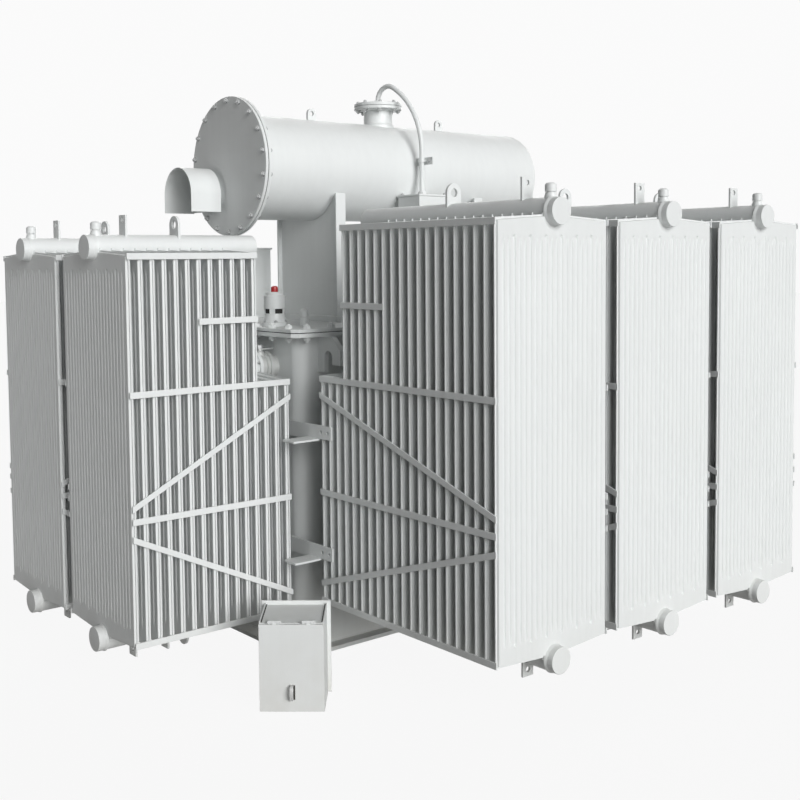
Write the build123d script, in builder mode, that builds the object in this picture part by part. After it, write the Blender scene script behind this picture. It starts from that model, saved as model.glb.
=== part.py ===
"""Power transformer with panel radiators on two walls and a conservator on top.

Millimetres. The origin is the middle of the tank's underside, +X runs along the
conservator, +Z is up. Three radiators hang on the -Y wall, two on the -X wall.
"""
import os

from build123d import *

os.makedirs("parts", exist_ok=True)

# Clearances
curve_gap = 0.3

# Number of sides of the many-sided bars used for pipes and for small round pieces
pipe_sides = 20
small_sides = 12

# Radiator panels
panel_width = 520.0
panel_pitch = 45.0
panel_thickness = 18.0
panel_rim = 3.5
panel_bevel = 8.0
panel_gable = 16.0
groove_count = 6
groove_width = 14.0
groove_depth = 4.5
groove_margin = 57.0
short_count = 3
radiator_gap = 58.0
end_gap = 62.0
side_overhang = 22.0
end_overhang = 83.0

side_spacing = panel_width + radiator_gap
end_spacing = panel_width + end_gap

# Tank
tank_corner_radius = 55.0
base_thickness = 16.0
base_overhang = 55.0
flange_underside = 1231.0
flange_thickness = 16.0
gasket_thickness = 3.0
gasket_inset = 6.0
cover_thickness = 13.0
flange_overhang = 60.0
plate_corner = 24.0

tank_length = 3 * panel_width + 2 * (radiator_gap - side_overhang)
tank_width = 2 * panel_width + end_gap - 2 * end_overhang
wall_x = tank_length / 2
wall_y = tank_width / 2
gasket_bottom = flange_underside + flange_thickness
cover_bottom = gasket_bottom + gasket_thickness
cover_top = cover_bottom + cover_thickness

# Stiffeners on the two plain walls
rib_thickness = 14.0
rib_depth = 48.0
rib_pitch_long = 288.0
rib_pitch_short = 250.0

# Lifting hooks
hook_in = 102.0
hook_thickness = 22.0
hook_reach = 142.0
hook_height = 140.0
hook_slot_start = 40.0
hook_slot_width = 50.0
hook_slot_top = 55.0
hook_leg_short = 32.0
hook_x = wall_x - hook_in

# Radiator arms at the two ends of the long bank
arm_clearance = 4.0
arm_thickness = 8.0
arm_height = 50.0
arm_lap = 79.0
arm_root = 88.0
arm_drops = (367.0, 817.0)
arm_hole = 14.0
arm_hole_pitch = 43.0
arm_hole_start = 20.0
gusset_clearance = 7.0
gusset_depth = 75.0
gusset_out = 112.0
gusset_side = 71.0

# Headers and their fittings
header_diameter = 89.0
header_offset = 24.0
header_nose = 32.0
leg_back = 44.0
leg_diameter = 82.0
low_header_lead = 10.0
joint_flange_diameter = 120.0
joint_flange_thickness = 14.0
valve_diameter = 104.0
valve_thickness = 36.0
vent_place = 15.0
vent_diameter = 36.0
vent_height = 46.0
vent_cap_diameter = 38.0
vent_cap_height = 30.0
tab_place = 120.0
tab_width = 50.0
tab_height = 70.0
tab_drop = 48.0
tab_pitch = 130.0
tab_thickness = 8.0
tab_hole = 18.0
lug_past_middle = 15.0
lug_width = 66.0
lug_height = 70.0
lug_thickness = 10.0
lug_hole = 30.0
low_lug_height = 52.0

# Straps along the panel edges
strap_height = 22.0
strap_thickness = 5.0
short_bar_panels = 6

# Long bank on the -Y wall
side_reach = 1085.0
side_bottom = 247.0
side_top_rise = 416.0
side_short_drop = 134.0
side_wall_gap = 160.0
side_header_past = 159.0
side_stub = 60.0
side_strap_drops = (10.0, 286.0)
side_low_strap_drops = (11.0, 432.0)
side_strap_foot = 10.0
side_diagonal_drops = ((379.0, 71.0), (488.0, 777.0))

# End bank on the -X wall
end_reach = 749.0
end_bottom = 207.0
end_top_rise = 321.0
end_short_drop = 145.0
end_wall_gap = 95.0
end_header_past = 143.0
end_stub = 30.0
end_strap_drops = (10.0, 239.0)
end_low_strap_drops = (11.0, 442.0)
end_strap_foot = 10.0
end_diagonal_drops = ((399.0, 66.0), (501.0, 804.0))

side_count = int((side_reach - side_wall_gap - panel_thickness) / panel_pitch) + 1
side_full_count = side_count - short_count
side_depth = panel_pitch * (side_count - 1) + panel_thickness
end_count = int((end_reach - end_wall_gap - panel_thickness) / panel_pitch) + 1
end_full_count = end_count - short_count
arm_reach = side_reach - side_depth + arm_lap
gusset_front = end_overhang + strap_thickness + gusset_clearance + gusset_depth
side_outer_y = -wall_y - side_reach
side_top = flange_underside + side_top_rise
side_short_top = flange_underside - side_short_drop
end_outer_x = -wall_x - end_reach
end_top = flange_underside + end_top_rise
end_short_top = flange_underside - end_short_drop

# Conservator
drum_diameter = 430.0
drum_wall = 6.0
drum_rise = 646.0
drum_near_lead = 12.0
drum_far_back = 51.0
drum_flange_diameter = 566.0
drum_flange_thickness = 14.0
drum_end_thickness = 14.0
far_end_thickness = 8.0
support_places = (-419.0, 377.0)
support_width = 426.0
support_thickness = 10.0
support_sink = 107.0
support_strip_width = 50.0
support_strip_thickness = 8.0
foot_height = 24.0
foot_length = 66.0
foot_extra = 20.0
eye_places = (-406.0, 329.0)
eye_width = 44.0
eye_height = 52.0
eye_thickness = 12.0
eye_hole = 20.0
eye_root = 5.0

drum_axis_z = cover_top + drum_rise
drum_near_x = -wall_x - drum_near_lead
drum_far_x = wall_x - drum_far_back
drum_radius = drum_diameter / 2
drum_top = drum_axis_z + drum_radius
support_top = drum_axis_z - support_sink

# Neck, breather pipe and breather box
neck_x = -35.0
neck_diameter = 130.0
neck_flange_diameter = 215.0
neck_flange_thickness = 14.0
neck_rise = 98.0
pipe_diameter = 22.0
pipe_rise = 74.0
pipe_drop_x = 1.0
pipe_stand = 42.0
pipe_first_bend = 60.0
pipe_dip = 30.0
box_width = 180.0
box_depth = 150.0
box_height = 220.0
box_sink = 107.0
box_behind = 65.0
box_lid_thickness = 8.0
box_lid_lip = 4.0
clamp_rise = 41.0
clamp_height = 32.0
clamp_wall = 6.0
clamp_band = 10.0
clamp_past = 57.0

neck_top = drum_top + neck_rise
pipe_apex = neck_top + pipe_rise
pipe_drop_y = -drum_radius - pipe_stand
box_top = drum_axis_z - box_sink
box_back_y = pipe_drop_y + box_behind
clamp_z = drum_axis_z + clamp_rise
clamp_reach = clamp_past - pipe_drop_y

# Oil gauge and its hood
gauge_y = 135.0
gauge_sink = 109.0
gauge_diameter = 150.0
gauge_depth = 22.0
gauge_face_diameter = 120.0
gauge_face_depth = 14.0
hood_length = 160.0
hood_width = 222.0
hood_sink = 184.0
hood_crown_sink = 1.0
hood_sheet = 4.0

gauge_z = drum_axis_z - gauge_sink
hood_bottom = drum_axis_z - hood_sink
hood_top = drum_axis_z - hood_crown_sink

# Cover fittings
relief_in_x = 43.0
relief_in_y = 223.0
relief_base_diameter = 104.0
relief_base_height = 16.0
relief_neck_diameter = 74.0
relief_neck_height = 46.0
relief_band_diameter = 86.0
relief_band_height = 60.0
relief_cap_height = 14.0
indicator_diameter = 28.0
indicator_height = 24.0
pocket_in_x = 114.0
pocket_in_y = 121.0
pocket_diameter = 34.0
pocket_height = 70.0
pocket_groove = 4.0
cable_box_in_x = 329.0
cable_box_length = 200.0
cable_box_in_y = 121.0
cable_box_depth = 160.0
cable_box_height = 319.0
cable_box_lid = 8.0
cable_box_lip = 6.0
relay_in_x = 226.0
relay_pipe_diameter = 60.0
relay_flange_diameter = 140.0
relay_flange_thickness = 14.0
relay_body_width = 130.0
relay_body_height = 130.0
relay_body_rise = 157.0

relief_x = -wall_x + relief_in_x
relief_y = -wall_y + relief_in_y
pocket_x = -wall_x + pocket_in_x
pocket_y = -wall_y + pocket_in_y
cable_box_x = -wall_x + cable_box_in_x
cable_box_front_y = wall_y - cable_box_in_y
relay_x = wall_x - relay_in_x
relay_body_z = cover_top + relay_body_rise

# Terminal box at the near corner, in its own turned frame
terminal_out_x = 361.0
terminal_out_y = 450.0
terminal_turn = -40.2
terminal_floor = 1.0
terminal_width = 219.0
terminal_depth = 190.0
terminal_height = 320.0
terminal_sheet = 4.0
terminal_roof_drop = 6.0
terminal_roof_slope = 12.0
back_width = 244.0
back_height = 328.0
back_thickness = 5.0
door_thickness = 10.0
door_gap = 5.0
door_height = 299.0
door_floor_gap = 3.0
hinge_radius = 5.0
hinge_back = 8.0
hinge_rise = 7.0
hinge_pitch = 116.0
knuckle_length = 14.0
knuckle_play = 0.5
hinge_leaf = 26.0
handle_height = 54.0
handle_width = 14.0
handle_reach = 22.0
handle_z = 70.0
carrier_width = 60.0
carrier_thickness = 12.0
carrier_length = 395.0
carrier_web = 70.0

door_top = door_floor_gap + door_height
hinge_z = door_top + hinge_rise
knuckle_pitch = knuckle_length + knuckle_play
terminal_front = (-wall_x - terminal_out_x, -wall_y - terminal_out_y)


def make_bar(diameter, height, sides):
    """Make an upright many-sided bar that stands on z = 0."""
    with BuildPart() as bar:
        with BuildSketch():
            RegularPolygon(diameter / 2, sides)
        extrude(amount=height)
    return bar.part


# Tank body, base plate, flange, gasket and cover
with BuildPart() as tank_body:
    with BuildSketch(Plane.XY.offset(base_thickness)):
        RectangleRounded(tank_length, tank_width, tank_corner_radius)
    extrude(amount=flange_underside - base_thickness)

with BuildPart() as tank_base_plate:
    with BuildSketch():
        Rectangle(tank_length + 2 * base_overhang, tank_width + 2 * base_overhang)
        chamfer(vertices(), plate_corner)
    extrude(amount=base_thickness)

with BuildPart() as tank_flange:
    with BuildSketch(Plane.XY.offset(flange_underside)):
        Rectangle(tank_length + 2 * flange_overhang, tank_width + 2 * flange_overhang)
        chamfer(vertices(), plate_corner)
    extrude(amount=flange_thickness)

with BuildPart() as cover_gasket:
    with BuildSketch(Plane.XY.offset(gasket_bottom)):
        Rectangle(
            tank_length + 2 * (flange_overhang - gasket_inset),
            tank_width + 2 * (flange_overhang - gasket_inset),
        )
        chamfer(vertices(), plate_corner)
    extrude(amount=gasket_thickness)

with BuildPart() as tank_cover:
    with BuildSketch(Plane.XY.offset(cover_bottom)):
        Rectangle(tank_length + 2 * flange_overhang, tank_width + 2 * flange_overhang)
        chamfer(vertices(), plate_corner)
    extrude(amount=cover_thickness)

# Upright stiffeners on the +Y and +X walls
rib_height = flange_underside - base_thickness
with BuildPart() as tank_stiffeners:
    with BuildSketch(Plane.XY.offset(base_thickness)):
        with Locations((0, wall_y + rib_depth / 2)):
            with GridLocations(rib_pitch_long, 0, 4, 1):
                Rectangle(rib_thickness, rib_depth)
        with Locations((wall_x + rib_depth / 2, 0)):
            with GridLocations(0, rib_pitch_short, 1, 3):
                Rectangle(rib_depth, rib_thickness)
    extrude(amount=rib_height)

# Lifting hooks, drawn once on the -Y wall and turned to the four places
with BuildPart() as hook_shape:
    with BuildSketch(Plane.YZ):
        with BuildLine():
            Polyline(
                (0, 0),
                (0, -hook_height),
                (-hook_slot_start, -hook_height),
                (-hook_slot_start, -hook_slot_top - hook_slot_width / 2),
            )
            ThreePointArc(
                (-hook_slot_start, -hook_slot_top - hook_slot_width / 2),
                (-hook_slot_start - hook_slot_width / 2, -hook_slot_top),
                (-hook_slot_start - hook_slot_width, -hook_slot_top - hook_slot_width / 2),
            )
            Polyline(
                (-hook_slot_start - hook_slot_width, -hook_slot_top - hook_slot_width / 2),
                (-hook_slot_start - hook_slot_width, -hook_height + hook_leg_short),
                (-hook_reach, -hook_height + hook_leg_short),
                (-hook_reach, -hook_slot_width),
                (-hook_reach + hook_slot_width, 0),
                (0, 0),
            )
        make_face()
    extrude(amount=hook_thickness / 2, both=True)

with BuildPart() as lifting_hooks:
    with Locations(
        Location((-hook_x, -wall_y, flange_underside)),
        Location((hook_x, -wall_y, flange_underside)),
        Location((-hook_x, wall_y, flange_underside), (0, 0, 180)),
        Location((hook_x, wall_y, flange_underside), (0, 0, 180)),
    ):
        add(hook_shape.part)

# Arms that steady the outer radiators of the long bank
arm_inner_x = wall_x + side_overhang + arm_clearance
arm_outer_x = arm_inner_x + arm_thickness
with BuildPart() as arm_shape:
    with Locations((-arm_inner_x - arm_thickness / 2, -wall_y + arm_root / 2 - arm_reach / 2, 0)):
        Box(
            arm_thickness,
            arm_reach + arm_root,
            arm_height,
            align=(Align.CENTER, Align.CENTER, Align.MIN),
        )
    for place in (arm_hole_start, arm_hole_start + arm_hole_pitch):
        with Locations(Location((-arm_inner_x, -wall_y - arm_reach + place, arm_height / 2), (0, -90, 0))):
            add(make_bar(arm_hole, 2 * arm_thickness, small_sides), mode=Mode.SUBTRACT)
    with BuildSketch(Plane.XY.offset(-arm_thickness)):
        with BuildLine():
            Polyline(
                (-arm_outer_x - gusset_out, -wall_y - gusset_front),
                (-arm_inner_x, -wall_y - gusset_front),
                (-wall_x + gusset_side, -wall_y),
                (-wall_x + gusset_side, -wall_y + arm_root),
                (-arm_outer_x, -wall_y + arm_root),
                (-arm_outer_x, -wall_y - gusset_front + gusset_depth),
                (-arm_outer_x - gusset_out, -wall_y - gusset_front + gusset_depth),
                close=True,
            )
        make_face()
        RectangleRounded(
            tank_length + 2 * curve_gap,
            tank_width + 2 * curve_gap,
            tank_corner_radius + curve_gap,
            mode=Mode.SUBTRACT,
        )
    extrude(amount=arm_thickness)

with BuildPart() as radiator_arms:
    for drop in arm_drops:
        with Locations((0, 0, flange_underside - drop)):
            add(arm_shape.part)
    mirror(about=Plane.YZ)


def panel_outline(bottom, top, sink):
    """Give the corners of a panel's face, with gabled ends and header notches."""
    half = panel_width / 2
    notch = header_diameter / 2 + curve_gap
    return (
        (-half, bottom),
        (-notch, bottom - panel_gable),
        (-notch, bottom + sink),
        (notch, bottom + sink),
        (notch, bottom - panel_gable),
        (half, bottom),
        (half, top),
        (notch, top + panel_gable),
        (notch, top - sink),
        (-notch, top - sink),
        (-notch, top + panel_gable),
        (-half, top),
    )


# Plan section of a panel, thick in the middle with a thin rim
panel_half = panel_width / 2
panel_flat = panel_half - panel_bevel
rim_low = panel_thickness / 2 - panel_rim / 2
rim_high = panel_thickness / 2 + panel_rim / 2
panel_section = (
    (-panel_half, rim_low),
    (-panel_flat, 0),
    (panel_flat, 0),
    (panel_half, rim_low),
    (panel_half, rim_high),
    (panel_flat, panel_thickness),
    (-panel_flat, panel_thickness),
    (-panel_half, rim_high),
)


def make_panel(bottom, top):
    """Make one inner panel between two corner levels."""
    sink = header_diameter / 2 + curve_gap - header_offset
    with BuildPart() as panel:
        with BuildSketch(Plane.XY.offset(bottom - panel_gable)):
            with BuildLine():
                Polyline(*panel_section, close=True)
            make_face()
        extrude(amount=top - bottom + 2 * panel_gable)
        with BuildSketch(Plane.XZ.offset(-2 * panel_thickness)):
            with BuildLine():
                Polyline(*panel_outline(bottom, top, sink), close=True)
            make_face()
        extrude(amount=4 * panel_thickness, mode=Mode.INTERSECT)
    return panel.part


def make_outer_panel(bottom, top):
    """Make the outermost panel with its pressed channels and round header holes."""
    channel = (panel_width - 2 * panel_bevel) / (groove_count + 1)
    with BuildPart() as panel:
        with BuildSketch(Plane.XY.offset(bottom - panel_gable)):
            with BuildLine():
                Polyline(*panel_section, close=True)
            make_face()
        extrude(amount=top - bottom + 2 * panel_gable)
        with BuildSketch(Plane.XZ.offset(-2 * panel_thickness)):
            with BuildLine():
                Polyline(
                    (-panel_width / 2, bottom),
                    (0, bottom - panel_gable),
                    (panel_width / 2, bottom),
                    (panel_width / 2, top),
                    (0, top + panel_gable),
                    (-panel_width / 2, top),
                    close=True,
                )
            make_face()
            with Locations((0, bottom - header_offset), (0, top + header_offset)):
                RegularPolygon(header_diameter / 2 + curve_gap, pipe_sides, mode=Mode.SUBTRACT)
        extrude(amount=4 * panel_thickness, mode=Mode.INTERSECT)
        with Locations((0, groove_depth / 2, (bottom + top) / 2)):
            with GridLocations(channel, 0, groove_count, 1):
                Box(groove_width, groove_depth, top - bottom - 2 * groove_margin, mode=Mode.SUBTRACT)
    return panel.part


def make_panels(bottom, top, short_top, full_count):
    """Make the whole row of panels of one radiator, outer face at y = 0."""
    outer = make_outer_panel(bottom, top)
    full = make_panel(bottom, top)
    short = make_panel(bottom, short_top)
    with BuildPart() as row:
        add(outer)
        with Locations([(0, panel_pitch * k, 0) for k in range(1, full_count)]):
            add(full)
        with Locations([(0, panel_pitch * k, 0) for k in range(full_count, full_count + short_count)]):
            add(short)
    return row.part


def make_headers(bottom, top, short_top, full_count, end, wall, stub):
    """Make the upper pipe run with its down leg, and the lower pipe run."""
    radius = header_diameter / 2
    high = top + header_offset
    low = short_top + header_offset
    foot = bottom - header_offset
    flange_end = wall - stub - joint_flange_thickness - valve_thickness
    low_start = panel_pitch * (full_count - 1) + panel_thickness + low_header_lead
    lug_place = (end - header_nose) / 2 + lug_past_middle
    along = (-90, 0, 0)
    with BuildPart() as runs:
        with Locations(Location((0, -header_nose, high), along)):
            add(make_bar(header_diameter, end + header_nose, pipe_sides))
        with Locations((0, end - leg_back, low)):
            add(make_bar(leg_diameter, high - low, pipe_sides))
        with Locations(Location((0, low_start, low), along)):
            add(make_bar(header_diameter, flange_end - low_start, pipe_sides))
        with Locations(Location((0, -header_nose, foot), along)):
            add(make_bar(header_diameter, flange_end + header_nose, pipe_sides))
        for level in (low, foot):
            with Locations(Location((0, flange_end - joint_flange_thickness, level), along)):
                add(make_bar(joint_flange_diameter, joint_flange_thickness, pipe_sides))
        with Locations((0, vent_place, high)):
            add(make_bar(vent_diameter, radius + vent_height, small_sides))
        with Locations((0, vent_place, high + radius + vent_height - vent_cap_height)):
            add(make_bar(vent_cap_diameter, vent_cap_height, small_sides))
        with BuildSketch(Plane.XZ.offset(-tab_place)):
            with Locations((0, high + (radius + tab_height) / 2)):
                Rectangle(tab_width, radius + tab_height)
            with Locations((0, high + radius + tab_height - tab_hole)):
                RegularPolygon(tab_hole / 2, small_sides, mode=Mode.SUBTRACT)
        extrude(amount=tab_thickness / 2, both=True)
        for place in (tab_place, tab_place + tab_pitch):
            with BuildSketch(Plane.XZ.offset(-place)):
                with Locations((0, foot - (radius + tab_drop) / 2)):
                    Rectangle(tab_width, radius + tab_drop)
                with Locations((0, foot - radius - tab_drop / 2)):
                    RegularPolygon(tab_hole / 2, small_sides, mode=Mode.SUBTRACT)
            extrude(amount=tab_thickness / 2, both=True)
        with BuildSketch(Plane.XZ.offset(-lug_place)):
            with Locations((0, foot - (radius + low_lug_height - lug_width / 2) / 2)):
                Rectangle(lug_width, radius + low_lug_height - lug_width / 2)
            with Locations((0, foot - radius - low_lug_height + lug_width / 2)):
                Circle(lug_width / 2)
        extrude(amount=lug_thickness / 2, both=True)
        with BuildSketch(Plane.XZ.offset(-lug_place)):
            with Locations((0, high + (radius + lug_height - lug_width / 2) / 2)):
                Rectangle(lug_width, radius + lug_height - lug_width / 2)
            with Locations((0, high + radius + lug_height - lug_width / 2)):
                Circle(lug_width / 2)
            with Locations((0, high + radius + lug_height - lug_width / 2)):
                Circle(lug_hole / 2, mode=Mode.SUBTRACT)
        extrude(amount=lug_thickness / 2, both=True)
    return runs.part


def make_straps(top, short_top, bottom, drops, low_drops, foot, diagonals, full_count):
    """Make the flat bars on both edge faces of one radiator."""
    full_end = panel_pitch * (full_count - 1) + panel_thickness
    all_end = panel_pitch * (full_count + short_count - 1) + panel_thickness
    short_start = panel_pitch * (full_count - short_bar_panels)
    spans = (
        (top - drops[0], 0, full_end),
        (top - drops[1], short_start, full_end),
        (short_top - low_drops[0], 0, all_end),
        (short_top - low_drops[1], 0, all_end),
        (bottom + foot, 0, all_end),
    )
    with BuildPart() as bars:
        with BuildSketch(Plane.YZ.offset(panel_width / 2)):
            for level, start, stop in spans:
                with Locations(((start + stop) / 2, level)):
                    Rectangle(stop - start, strap_height)
            for outer_drop, inner_drop in diagonals:
                outer_z = short_top - outer_drop
                inner_z = short_top - inner_drop
                with BuildLine():
                    Polyline(
                        (0, outer_z - strap_height / 2),
                        (all_end, inner_z - strap_height / 2),
                        (all_end, inner_z + strap_height / 2),
                        (0, outer_z + strap_height / 2),
                        close=True,
                    )
                make_face()
        extrude(amount=strap_thickness)
        mirror(about=Plane.YZ)
    return bars.part


side_header_end = panel_pitch * (side_full_count - 1) + panel_thickness + side_header_past
end_header_end = panel_pitch * (end_full_count - 1) + panel_thickness + end_header_past
side_panels = make_panels(side_bottom, side_top, side_short_top, side_full_count)
side_headers = make_headers(
    side_bottom,
    side_top,
    side_short_top,
    side_full_count,
    side_header_end,
    side_reach,
    side_stub,
)
side_straps = make_straps(
    side_top,
    side_short_top,
    side_bottom,
    side_strap_drops,
    side_low_strap_drops,
    side_strap_foot,
    side_diagonal_drops,
    side_full_count,
)
end_panels = make_panels(end_bottom, end_top, end_short_top, end_full_count)
end_headers = make_headers(
    end_bottom,
    end_top,
    end_short_top,
    end_full_count,
    end_header_end,
    end_reach,
    end_stub,
)
end_straps = make_straps(
    end_top,
    end_short_top,
    end_bottom,
    end_strap_drops,
    end_low_strap_drops,
    end_strap_foot,
    end_diagonal_drops,
    end_full_count,
)

side_places = [Location((x, side_outer_y, 0)) for x in (-side_spacing, 0, side_spacing)]
end_places = [Location((end_outer_x, y, 0), (0, 0, -90)) for y in (-end_spacing / 2, end_spacing / 2)]

# The five radiators at their places
radiators = {}
for number, place in enumerate(side_places, start=1):
    for kind, shape in (("panels", side_panels), ("headers", side_headers), ("straps", side_straps)):
        with BuildPart() as piece:
            with Locations(place):
                add(shape)
        radiators[f"side_radiator_{number}_{kind}"] = piece
for number, place in enumerate(end_places, start=1):
    for kind, shape in (("panels", end_panels), ("headers", end_headers), ("straps", end_straps)):
        with BuildPart() as piece:
            with Locations(place):
                add(shape)
        radiators[f"end_radiator_{number}_{kind}"] = piece


def make_valve(wall, stub, level):
    """Make one shut-off valve with its tank flange and stub, stub end at the wall."""
    along = (-90, 0, 0)
    valve_start = wall - stub - joint_flange_thickness - valve_thickness
    with BuildPart() as valve:
        with Locations(Location((0, valve_start, level), along)):
            add(make_bar(valve_diameter, valve_thickness, pipe_sides))
        with Locations(Location((0, valve_start + valve_thickness, level), along)):
            add(make_bar(joint_flange_diameter, joint_flange_thickness, pipe_sides))
        with Locations(Location((0, wall - stub, level), along)):
            add(make_bar(header_diameter, stub, pipe_sides))
    return valve.part


# Shut-off valves between the radiators and the tank
with BuildPart() as upper_valves:
    side_valve = make_valve(side_reach, side_stub, side_short_top + header_offset)
    end_valve = make_valve(end_reach, end_stub, end_short_top + header_offset)
    with Locations(side_places):
        add(side_valve)
    with Locations(end_places):
        add(end_valve)

with BuildPart() as lower_valves:
    side_valve = make_valve(side_reach, side_stub, side_bottom - header_offset)
    end_valve = make_valve(end_reach, end_stub, end_bottom - header_offset)
    with Locations(side_places):
        add(side_valve)
    with Locations(end_places):
        add(end_valve)

# Conservator drum with its bolted end and welded end
drum_start = drum_near_x + drum_end_thickness
drum_stop = drum_far_x - far_end_thickness
along_x = (0, 90, 0)
with BuildPart() as conservator_shell:
    with Locations(Location((drum_start, 0, drum_axis_z), along_x)):
        Cylinder(drum_radius, drum_stop - drum_start, align=(Align.CENTER, Align.CENTER, Align.MIN))
        Cylinder(
            drum_flange_diameter / 2,
            drum_flange_thickness,
            align=(Align.CENTER, Align.CENTER, Align.MIN),
        )
        Cylinder(
            drum_radius - drum_wall,
            drum_stop - drum_start,
            align=(Align.CENTER, Align.CENTER, Align.MIN),
            mode=Mode.SUBTRACT,
        )

with BuildPart() as conservator_end_plate:
    with Locations(Location((drum_near_x, 0, drum_axis_z), along_x)):
        Cylinder(
            drum_flange_diameter / 2,
            drum_end_thickness,
            align=(Align.CENTER, Align.CENTER, Align.MIN),
        )

with BuildPart() as conservator_far_end:
    with Locations(Location((drum_stop, 0, drum_axis_z), along_x)):
        Cylinder(drum_radius, far_end_thickness, align=(Align.CENTER, Align.CENTER, Align.MIN))

# Saddle supports standing on the cover
foot_top = cover_top + foot_height
with BuildPart() as conservator_supports:
    for x in support_places:
        with Locations((x, 0, cover_top)):
            Box(
                foot_length,
                support_width + 2 * foot_extra,
                foot_height,
                align=(Align.CENTER, Align.CENTER, Align.MIN),
            )
        with Locations((x, 0, foot_top)):
            Box(
                support_thickness,
                support_width,
                support_top - foot_top,
                align=(Align.CENTER, Align.CENTER, Align.MIN),
            )
        for side in (-1, 1):
            with Locations((x, side * (support_width + support_strip_thickness) / 2, foot_top)):
                Box(
                    support_strip_width,
                    support_strip_thickness,
                    support_top - foot_top,
                    align=(Align.CENTER, Align.CENTER, Align.MIN),
                )
    with Locations(Location((0, 0, drum_axis_z), along_x)):
        Cylinder(drum_radius + curve_gap, 2 * tank_length, mode=Mode.SUBTRACT)

# Lifting eyes on the drum
with BuildPart() as lifting_eyes:
    for x in eye_places:
        with BuildSketch(Plane.XZ.offset(0)):
            with Locations((x, drum_top + (eye_height - eye_width / 2) / 2 - eye_root)):
                Rectangle(eye_width, eye_height - eye_width / 2 + 2 * eye_root)
            with Locations((x, drum_top + eye_height - eye_width / 2)):
                Circle(eye_width / 2)
            with Locations((x, drum_top + eye_height - eye_width / 2)):
                Circle(eye_hole / 2, mode=Mode.SUBTRACT)
        extrude(amount=eye_thickness / 2, both=True)
    with Locations(Location((0, 0, drum_axis_z), along_x)):
        Cylinder(drum_radius + curve_gap, 2 * tank_length, mode=Mode.SUBTRACT)

# Neck on the drum and its cover
neck_joint = neck_top - neck_flange_thickness
with BuildPart() as conservator_neck:
    with Locations((neck_x, 0, drum_axis_z)):
        Cylinder(
            neck_diameter / 2,
            neck_joint - drum_axis_z,
            align=(Align.CENTER, Align.CENTER, Align.MIN),
        )
    with Locations((neck_x, 0, neck_joint - neck_flange_thickness)):
        Cylinder(
            neck_flange_diameter / 2,
            neck_flange_thickness,
            align=(Align.CENTER, Align.CENTER, Align.MIN),
        )
    with Locations(Location((0, 0, drum_axis_z), along_x)):
        Cylinder(drum_radius + curve_gap, 2 * tank_length, mode=Mode.SUBTRACT)

with BuildPart() as neck_cover:
    with Locations((neck_x, 0, neck_joint)):
        Cylinder(
            neck_flange_diameter / 2,
            neck_flange_thickness,
            align=(Align.CENTER, Align.CENTER, Align.MIN),
        )

# Breather pipe from the neck cover over the drum to the breather box
pipe_run = ((pipe_drop_x - neck_x) ** 2 + pipe_drop_y**2) ** 0.5
pipe_dip_share = Vector(1, 0, 0).rotate(Axis.Z, pipe_dip).Y
pipe_second_bend = (pipe_run - pipe_first_bend * (1 + pipe_dip_share)) / (1 - pipe_dip_share)
pipe_plane = Plane(
    origin=(neck_x, 0, 0),
    x_dir=(pipe_drop_x - neck_x, pipe_drop_y, 0),
    z_dir=(-pipe_drop_y, pipe_drop_x - neck_x, 0),
)
if pipe_plane.y_dir.Z < 0:
    pipe_plane = Plane(origin=pipe_plane.origin, x_dir=pipe_plane.x_dir, z_dir=-pipe_plane.z_dir)
with BuildPart() as breather_pipe:
    with BuildLine(pipe_plane) as pipe_path:
        rise = Line((0, neck_top), (0, pipe_apex - pipe_first_bend))
        first = JernArc(rise @ 1, rise % 1, pipe_first_bend, -90 - pipe_dip)
        second = JernArc(first @ 1, first % 1, pipe_second_bend, pipe_dip - 90)
        Line(second @ 1, (pipe_run, box_top))
    with BuildSketch(Plane((neck_x, 0, neck_top))):
        RegularPolygon(pipe_diameter / 2, small_sides)
    sweep()

with BuildPart() as breather_box:
    with Locations((pipe_drop_x, box_back_y - box_depth / 2, box_top - box_height)):
        Box(
            box_width - 2 * box_lid_lip,
            box_depth - 2 * box_lid_lip,
            box_height,
            align=(Align.CENTER, Align.CENTER, Align.MIN),
        )
    with Locations((pipe_drop_x, box_back_y - box_depth / 2, box_top - box_lid_thickness)):
        Box(
            box_width,
            box_depth,
            box_lid_thickness,
            align=(Align.CENTER, Align.CENTER, Align.MIN),
        )

# Clamp that holds the breather pipe to the drum
with BuildPart() as pipe_clamp:
    with Locations((pipe_drop_x, pipe_drop_y, clamp_z)):
        Cylinder(pipe_diameter / 2 + clamp_wall, clamp_band)
    with Locations((pipe_drop_x + pipe_diameter / 2, -drum_radius / 2, clamp_z)):
        Box(
            clamp_wall,
            clamp_reach - drum_radius / 2,
            clamp_height,
            align=(Align.MIN, Align.MAX, Align.CENTER),
        )
    with Locations((pipe_drop_x, pipe_drop_y, clamp_z)):
        Cylinder(pipe_diameter / 2 + curve_gap, 2 * clamp_height, mode=Mode.SUBTRACT)
    with Locations(Location((0, 0, drum_axis_z), along_x)):
        Cylinder(drum_radius + curve_gap, 2 * tank_length, mode=Mode.SUBTRACT)

# Oil gauge on the end plate under its hood
with BuildPart() as oil_gauge:
    with Locations(Location((drum_near_x, gauge_y, gauge_z), (0, -90, 0))):
        Cylinder(gauge_diameter / 2, gauge_depth, align=(Align.CENTER, Align.CENTER, Align.MIN))
        Cylinder(
            gauge_face_diameter / 2,
            gauge_depth + gauge_face_depth,
            align=(Align.CENTER, Align.CENTER, Align.MIN),
        )

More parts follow.
